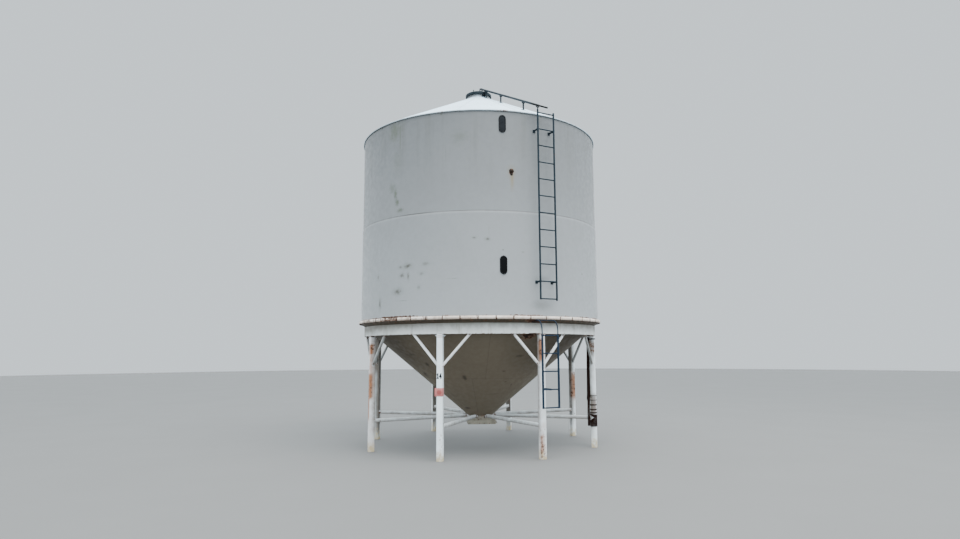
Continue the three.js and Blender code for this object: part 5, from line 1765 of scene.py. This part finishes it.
def make_neck(paint):
    """The short tube under the hopper, with a lip at its foot and bolts round it."""
    (inner, low), (outer, high) = reach("outlet_neck")
    neck = Shape("rust", "wear")
    lip = outer + 0.010
    profile = [(inner, low), (lip, low), (lip, low + 0.006), (outer + 0.001, low + 0.008),
               (outer, low + 0.012), (outer, high - 0.004), (outer - 0.002, high), (inner, high)]

    def rusty_top(x, y, z):
        return 0.08 + 0.3 * smooth_step(high - 0.02, high, z)

    neck.add(hoop(profile, np.arange(0, 360, 3)), rust=rusty_top, wear=0.3)
    ring = around(outer + 0.004, np.arange(0, 360, 2.4), high - 0.001)
    bead(neck, ring, 0.005, closed=True, rust=0.3)
    for azimuth in range(8, 360, 30):
        bolt(neck, around(outer + 0.001, azimuth, low + 0.045), around(1.0, azimuth, 0.0), 0.0065, rust=0.4)
    neck.build("outlet_ring", [paint], "silo", ["outlet_neck"])


def make_gate_fittings(paint):
    """Bolts along both sides of the gate's frame, on top and outside, and the latch on the frame."""
    low, high = span("gate_frame", GATE_AZ)
    top = high[2]
    fittings = Shape("rust", "wear")
    for side in (-1, 1):
        for share in np.linspace(0.06, 0.94, 6):
            r = low[1] + share * (high[1] - low[1])
            centre = placed((side * (high[0] - 0.02), r, top), GATE_AZ)
            bolt(fittings, centre, (0, 0, 1), 0.008, rust=0.35, wear=0.5)
            face = placed((side * high[0], r, (low[2] + top) / 2 - 0.022), GATE_AZ)
            bolt(fittings, face, placed((side, 0, 0), GATE_AZ), 0.007, rust=0.35, wear=0.5)
    latch_r = 0.262
    latch_az = 10.0
    latch_turn = 0.5
    post = around(latch_r, latch_az, top)
    fittings.add(spun([(0.011, 0.0), (0.011, 0.022), (0.008, 0.026)], 6, post), rust=0.5)
    hook = np.array([(0.0, 0.0, 0.014), (0.02, 0.012, 0.018), (0.045, 0.016, 0.020), (0.062, 0.006, 0.020)])
    cos, sin = math.cos(latch_turn), math.sin(latch_turn)
    turned = hook @ np.array([[cos, sin, 0], [-sin, cos, 0], [0, 0, 1]])
    fittings.add(carried(post + turned, soft_box(0.007, 0.0035, 0.001)), rust=0.4)
    fittings.build("gate_fittings", [paint], "silo", [])


def make_gate_plate():
    """The sliding sheet, the turned-down pull at its front edge and two rivets on the pull."""
    steel = plain_paint("bare gate steel", (0.32, 0.30, 0.27), (0.22, 0.19, 0.16), 9.0, 0.9, 0.5,
                        metallic=0.55, rusty=True, rust_scale=30.0, speck=0.1, strength=0.3)
    low, high = span("gate_plate", GATE_AZ)
    front = high[1] - 0.012
    slab_z = high[2] - 0.004
    pull_z = high[2] - 0.015
    plate = Shape("rust")
    slab = bar((0, low[1], slab_z), (0, front, slab_z), soft_box(high[0], 0.004, 0.001, 1),
               ease=0.001, stations=np.linspace(0, 1, 12))
    plate.add(slab, GATE_AZ, rust=0.3)
    pull = bar((-0.15, front + 0.006, pull_z), (0.15, front + 0.006, pull_z),
               soft_box(0.006, 0.015, 0.002), ease=0.0015, stations=np.linspace(0, 1, 8))
    plate.add(pull, GATE_AZ, rust=0.45)
    rivet = [(0.009, -0.001), (0.009, 0.001), (0.006, 0.0016)]
    for t in (-0.09, 0.09):
        seat = placed((t, front + 0.0118, pull_z), GATE_AZ)
        plate.add(spun(rivet, 12, seat, placed((0, 1, 0), GATE_AZ)), rust=0.5)
    plate.build("slide_plate", [steel], "gate", ["gate_plate"])


def make_outlet():
    """The neck under the hopper, the slide-gate body with its bolts and latch, and the plate."""
    fresh = bpy.context.scene.silo_hopper.outlet_paint
    paint = plain_paint("outlet paint", fresh, scaled_colour(fresh, 0.72), 6.0, 0.85, 0.3,
                        dirt=(0.16, 0.13, 0.1), rusty=True, rust_scale=34.0, wear=0.4, speck=0.07,
                        strength=0.4)
    make_neck(paint)
    softened("gate_body", "gate_frame", 0.003, paint, "silo")
    make_gate_fittings(paint)
    make_gate_plate()


# Ladders

def weld_ring(shape, centre, radius, azimuth, rail_radius, side):
    """A bead round the end of a rung, against the inner side of a rail."""
    turn = np.linspace(0, 2 * np.pi, 16, endpoint=False)
    t = np.full(len(turn), centre[0] - side * (rail_radius - 0.001))
    path = np.column_stack([t, centre[1] + radius * np.cos(turn), centre[2] + radius * np.sin(turn)])
    bead(shape, path, 0.003, azimuth, closed=True, up=(1, 0, 0))


def add_rungs(ladder, settings, count, top, half, r, rail, azimuth):
    """Round rungs down from the top one, worn in the middle, with a weld bead at each rail."""
    radius = settings.rung_radius
    for i in range(count):
        z = top - settings.rung_pitch * i
        body = bar((-half, r, z), (half, r, z), circle(radius, 14), stations=np.linspace(0, 1, 9))
        ladder.add(body, azimuth, wear=lambda x, y, z: 0.35 + 0.45 * smooth_step(half, 0.02, np.abs(x)))
        for side in (-1, 1):
            weld_ring(ladder, (side * half, r, z), radius + 0.001, azimuth, rail, side)


def make_upper_ladder():
    """Two round rails of unlike length, twelve rungs and four brackets that stand off the wall."""
    settings = bpy.context.scene.silo_ladders
    azimuth = math.degrees(settings.upper_azimuth)
    high = span("upper_ladder", azimuth)[1]
    rail = settings.upper_rail
    r = high[1] - rail
    half = 0.170
    tops = {-1: high[2], 1: high[2] - 0.019}
    tails = {-1: 0.014, 1: 0.030}
    rungs = 12
    last = settings.upper_top_rung - settings.rung_pitch * (rungs - 1)
    ladder = Shape("wear")
    for side in (-1, 1):
        body = bar((side * half, r, last - tails[side]), (side * half, r, tops[side]), circle(rail, 18),
                   up=(0, 1, 0), ease=0.002, stations=np.linspace(0, 1, 60))
        ladder.add(body, azimuth, wear=0.42)
    top_cap = [(rail * 0.95, -0.001), (rail * 0.95, 0.0012), (rail * 0.7, 0.002)]
    ladder.add(spun(top_cap, 18, placed((half, r, tops[1]), azimuth)), wear=0.5)
    add_rungs(ladder, settings, rungs, settings.upper_top_rung, half, r, rail, azimuth)

    rail_r = math.hypot(r, half)
    for z, course in ((5.793, "wall_upper_1"), (3.050, "wall_lower_1")):
        wall = reach(course)[1][0]
        pad_face = wall + 0.0083
        for side in (-1, 1):
            turn = azimuth + side * math.degrees(math.atan2(half, r))
            arm = bar((0, wall + 0.001, z), (0, rail_r, z), soft_box(0.009, 0.015, 0.002), ease=0.001)
            ladder.add(arm, turn, wear=0.55)
            pad = bar((0, wall + 0.0003, z - 0.004), (0, pad_face, z - 0.004),
                      soft_box(0.025, 0.028, 0.004), ease=0.001)
            ladder.add(pad, turn, wear=0.6)
            for offset in (-0.022, 0.014):
                spot = placed((0.0, pad_face, z + offset), turn)
                bolt(ladder, spot, placed((0, 1, 0), turn), 0.007, wear=0.6)
    paint = plain_paint("upper ladder paint", settings.upper_paint, settings.upper_worn, 4.0, 0.8, 0.08,
                        dirt=(0.035, 0.04, 0.038), dirt_share=0.1, wear=0.16,
                        bare=(0.05, 0.046, 0.04), speck=0.04, rust_scale=50.0)
    ladder.build("ladder_to_roof", [paint], "silo", ["upper_ladder"])


def make_lower_ladder():
    """Rails, rungs and the two straps that curve back to the ledge, with the stay to the leg."""
    settings = bpy.context.scene.silo_ladders
    azimuth = math.degrees(settings.lower_azimuth)
    high = span("lower_ladder", azimuth)[1]
    rail = settings.lower_rail
    r = high[1] - rail
    half = 0.161
    rungs = 5
    ledge = high[2]
    top = settings.lower_top_rung
    last = top - settings.rung_pitch * (rungs - 1)
    ladder = Shape("wear")
    knots = np.array([
        (r, top), (r, ledge - 0.20), (r - 0.004, ledge - 0.15), (r - 0.034, ledge - 0.068),
        (r - 0.070, ledge - 0.034), (r - 0.113, ledge - 0.015), (r - 0.15, ledge - 0.009),
        (r - 0.186, ledge - 0.0075),
    ])
    for side in (-1, 1):
        t = side * half
        body = bar((t, r, last - 0.012), (t, r, top + 0.012), circle(rail, 20), up=(0, 1, 0), ease=0.003,
                   stations=np.linspace(0, 1, 40))
        ladder.add(body, azimuth, wear=0.45)
        path = resampled(np.column_stack([np.full(len(knots), t), knots]), 0.012)
        for i in (1, 2):
            path[:, i] = np.convolve(np.pad(path[:, i], 2, "edge"), np.ones(5) / 5, "valid")
        ladder.add(carried(path, soft_box(0.0065, 0.008, 0.0015), up=(1, 0, 0)), azimuth, wear=0.5)
        foot = placed((t, r - 0.172, ledge - 0.015), azimuth)
        bolt(ladder, foot, (0, 0, -1), 0.007, wear=0.6)
    add_rungs(ladder, settings, rungs, top, half, r, rail, azimuth)
    cross_r = 2.487
    cross_z = ledge - 0.013
    ladder.add(bar((-half, cross_r, cross_z), (half, cross_r, cross_z), soft_box(0.007, 0.007, 0.002),
                   stations=np.linspace(0, 1, 6)), azimuth, wear=0.5)
    stay_z = top - settings.rung_pitch * 3
    leg_face = span("leg_2", LEG_TURN)[1][1] + 0.0003
    clamp_face = leg_face + 0.006
    stay = bar((0, clamp_face, stay_z), (0, r - 0.005, stay_z), soft_box(0.0125, 0.016, 0.002), ease=0.001)
    ladder.add(stay, azimuth, wear=0.5)
    clamp = bar((0, leg_face, stay_z), (0, clamp_face, stay_z), soft_box(0.0155, 0.020, 0.002), ease=0.001)
    ladder.add(clamp, azimuth, wear=0.6)
    paint = plain_paint("lower ladder paint", settings.lower_paint, settings.lower_worn, 4.0, 0.85, 0.08,
                        dirt=(0.05, 0.05, 0.048), dirt_share=0.12, wear=0.2,
                        bare=(0.07, 0.062, 0.055), speck=0.05, rust_scale=50.0)
    ladder.build("ladder_to_ground", [paint], "silo", ["lower_ladder"])


# Sight windows and the rusted plug

def add_window(shape, azimuth, wall, middle, half_w, half_h, proud, settings, pointed):
    """A frame round an obround pane with small bolts; each ring of the frame is an obround of
    its own size at its own height above the wall."""
    reach_up = half_h - half_w
    width = settings.frame_width
    steps = [(0.0, 0.0), (0.001, proud - 0.004), (0.0035, proud), (width - 0.002, proud),
             (width, proud - 0.002), (width, 0.004), (width, 0.0)]
    rings = []
    for inset, height in steps:
        flat = obround(half_w - inset, reach_up)
        back = np.sqrt(wall ** 2 - flat[:, 0] ** 2)
        rings.append(np.column_stack([flat[:, 0], back + 0.0005 + height, flat[:, 1] + middle]))
    shape.add(lofted(np.array(rings), closed=True), azimuth)
    pane = []
    for share, height in ((1.0, 0.002), (1.0, 0.006), (0.9, 0.0075), (0.4, 0.009)):
        flat = obround((half_w - width) * share, reach_up * share)
        out = np.full(len(flat), wall + height - 0.001)
        pane.append(np.column_stack([flat[:, 0], out, flat[:, 1] + middle]))
    shape.add(lofted(np.array(pane)), azimuth, slot=1)
    loop = np.column_stack([obround(half_w - width / 2, reach_up), np.zeros(30)])
    for t, h, _ in resampled(loop, 0.052, True):
        centre = placed((t, wall + proud - 0.0006, middle + h), azimuth)
        bolt(shape, centre, placed((0, 1, 0), azimuth), 0.0036, slot=2)
    if pointed:
        for end in (-1, 1):
            tip_z = middle + end * (half_h - 0.004)
            tip = bar((0, wall + 0.001, tip_z), (0, wall + proud + 0.002, tip_z),
                      soft_box(0.010, 0.008, 0.003), ease=0.001)
            shape.add(tip, azimuth)


def make_windows():
    """Both sight windows, of which the lower one has lugs at its ends, and the rusted plug."""
    settings = bpy.context.scene.silo_windows
    azimuth = math.degrees(settings.azimuth)
    rim = plain_paint("window frame paint", settings.rim, scaled_colour(settings.rim, 2.2), 20.0, 0.7,
                      0.07, dirt=(0.025, 0.025, 0.024), dirt_share=0.12)
    small = plain_paint("window bolts", (0.06, 0.056, 0.052), (0.04, 0.03, 0.02), 30.0, 0.9, 0.4,
                        metallic=0.5)
    walls = {"upper": reach("wall_upper_1")[1][0], "lower": reach("wall_lower_1")[1][0]}
    panes = {"upper": settings.upper_pane, "lower": settings.lower_pane}
    for level, wall in walls.items():
        low, high = span(f"sight_window_{level}", azimuth)
        shape = Shape()
        half_w = (high[0] - low[0]) / 2
        half_h = (high[2] - low[2]) / 2
        add_window(shape, azimuth, wall, (low[2] + high[2]) / 2, half_w, half_h, high[1] - wall - 0.001,
                   settings, level == "lower")
        materials = [rim, pane_material(f"{level} pane", panes[level]), small]
        shape.build(f"sight_pane_{level}", materials, "silo", [f"sight_window_{level}"])

    rusty = plain_paint("rusted plug", (0.010, 0.007, 0.005), (0.022, 0.012, 0.006), 30.0, 1.0, 0.12,
                        rusty=True, rust_scale=40.0, strength=0.8)
    plug = Shape("rust")

    def flange_rust(x, y, z):
        return 0.12 + 0.3 * smooth_step(settings.plug_height + 0.02, settings.plug_height + 0.045, z)

    wall = walls["upper"]
    turn = math.degrees(settings.plug_azimuth)
    outward = placed((0, 1, 0), turn)
    centre = around(wall - 0.001, turn, settings.plug_height)
    flange = [(0.044, 0.0), (0.044, 0.005), (0.041, 0.007), (0.030, 0.008), (0.030, 0.016), (0.027, 0.018)]
    plug.add(spun(flange, 28, centre, outward), rust=flange_rust)
    square = [(0.0125, 0.017), (0.0125, 0.027), (0.0105, 0.029)]
    plug.add(spun(square, 4, centre, outward, start=45.0), rust=0.1)
    lower_lug = around(wall - 0.001, turn, settings.plug_height - 0.058)
    lug = [(0.024, 0.0), (0.024, 0.006), (0.019, 0.009)]
    plug.add(spun(lug, 16, lower_lug, outward), rust=0.1)
    plug.build("rusted_plug", [rusty], "silo", [])


# Operators, panel and running

def make_stage():
    """The camera, the light and the floor, in that order."""
    settings = bpy.context.scene.silo_stage
    make_camera(settings)
    make_light(settings)
    make_floor(settings)


class SILO_OT_stage(Operator):
    """Camera, soft light and plain floor"""
    bl_idname = "silo.stage"
    bl_label = "Stage"

    def execute(self, context):
        make_stage()
        return {"FINISHED"}


class SILO_OT_barrel(Operator):
    """Both courses of the barrel"""
    bl_idname = "silo.barrel"
    bl_label = "Barrel"

    def execute(self, context):
        make_barrel()
        return {"FINISHED"}


class SILO_OT_roof(Operator):
    """The roof cone and the filler collar"""
    bl_idname = "silo.roof"
    bl_label = "Roof"

    def execute(self, context):
        make_roof()
        return {"FINISHED"}


class SILO_OT_lid(Operator):
    """The lid, its hinge, the rod and its forks"""
    bl_idname = "silo.lid"
    bl_label = "Lid and rod"

    def execute(self, context):
        make_lid()
        return {"FINISHED"}


class SILO_OT_ledge(Operator):
    """The short plates round the barrel's foot"""
    bl_idname = "silo.ledge"
    bl_label = "Ledge"

    def execute(self, context):
        make_ledge()
        return {"FINISHED"}


class SILO_OT_beam(Operator):
    """The rolled angle on the legs"""
    bl_idname = "silo.beam"
    bl_label = "Ring beam"

    def execute(self, context):
        make_beam()
        return {"FINISHED"}


class SILO_OT_hopper(Operator):
    """The hopper cone"""
    bl_idname = "silo.hopper"
    bl_label = "Hopper"

    def execute(self, context):
        make_hopper()
        return {"FINISHED"}


class SILO_OT_legs(Operator):
    """Legs, braces, spokes and the marks on the first leg"""
    bl_idname = "silo.legs"
    bl_label = "Legs"

    def execute(self, context):
        make_legs()
        return {"FINISHED"}


class SILO_OT_cable(Operator):
    """The cable on the third leg"""
    bl_idname = "silo.cable"
    bl_label = "Cable"

    def execute(self, context):
        make_cable()
        return {"FINISHED"}


class SILO_OT_outlet(Operator):
    """The neck and the slide gate"""
    bl_idname = "silo.outlet"
    bl_label = "Outlet"

    def execute(self, context):
        make_outlet()
        return {"FINISHED"}


class SILO_OT_upper_ladder(Operator):
    """The ladder on the barrel"""
    bl_idname = "silo.upper_ladder"
    bl_label = "Upper ladder"

    def execute(self, context):
        make_upper_ladder()
        return {"FINISHED"}


class SILO_OT_lower_ladder(Operator):
    """The ladder under the ledge"""
    bl_idname = "silo.lower_ladder"
    bl_label = "Lower ladder"

    def execute(self, context):
        make_lower_ladder()
        return {"FINISHED"}


class SILO_OT_windows(Operator):
    """The sight windows and the rusted plug"""
    bl_idname = "silo.windows"
    bl_label = "Windows"

    def execute(self, context):
        make_windows()
        return {"FINISHED"}


OPERATORS = (
    SILO_OT_stage, SILO_OT_barrel, SILO_OT_roof, SILO_OT_lid, SILO_OT_ledge, SILO_OT_beam,
    SILO_OT_hopper, SILO_OT_legs, SILO_OT_cable, SILO_OT_outlet, SILO_OT_upper_ladder,
    SILO_OT_lower_ladder, SILO_OT_windows,
)

SETTINGS = {
    "silo_stage": StageSettings,
    "silo_barrel": BarrelSettings,
    "silo_roof": RoofSettings,
    "silo_lid": LidSettings,
    "silo_ledge": LedgeSettings,
    "silo_frame": FrameSettings,
    "silo_hopper": HopperSettings,
    "silo_ladders": LadderSettings,
    "silo_cable": CableSettings,
    "silo_windows": WindowSettings,
}


class SILO_PT_pieces(Panel):
    """Lists the silo's makers in the sidebar."""
    bl_label = "Grain silo"
    bl_idname = "SILO_PT_pieces"
    bl_space_type = "VIEW_3D"
    bl_region_type = "UI"
    bl_category = "Silo"

    def draw(self, context):
        for made in OPERATORS:
            self.layout.operator(made.bl_idname)


def register():
    for name, settings in SETTINGS.items():
        bpy.utils.register_class(settings)
        setattr(bpy.types.Scene, name, PointerProperty(type=settings))
    for made in OPERATORS:
        bpy.utils.register_class(made)
    bpy.utils.register_class(SILO_PT_pieces)


def unregister():
    bpy.utils.unregister_class(SILO_PT_pieces)
    for made in reversed(OPERATORS):
        bpy.utils.unregister_class(made)
    for name, settings in SETTINGS.items():
        delattr(bpy.types.Scene, name)
        bpy.utils.unregister_class(settings)


def main():
    register()
    for made in OPERATORS:
        group, name = made.bl_idname.split(".")
        getattr(getattr(bpy.ops, group), name)()


if __name__ == "__main__":
    main()
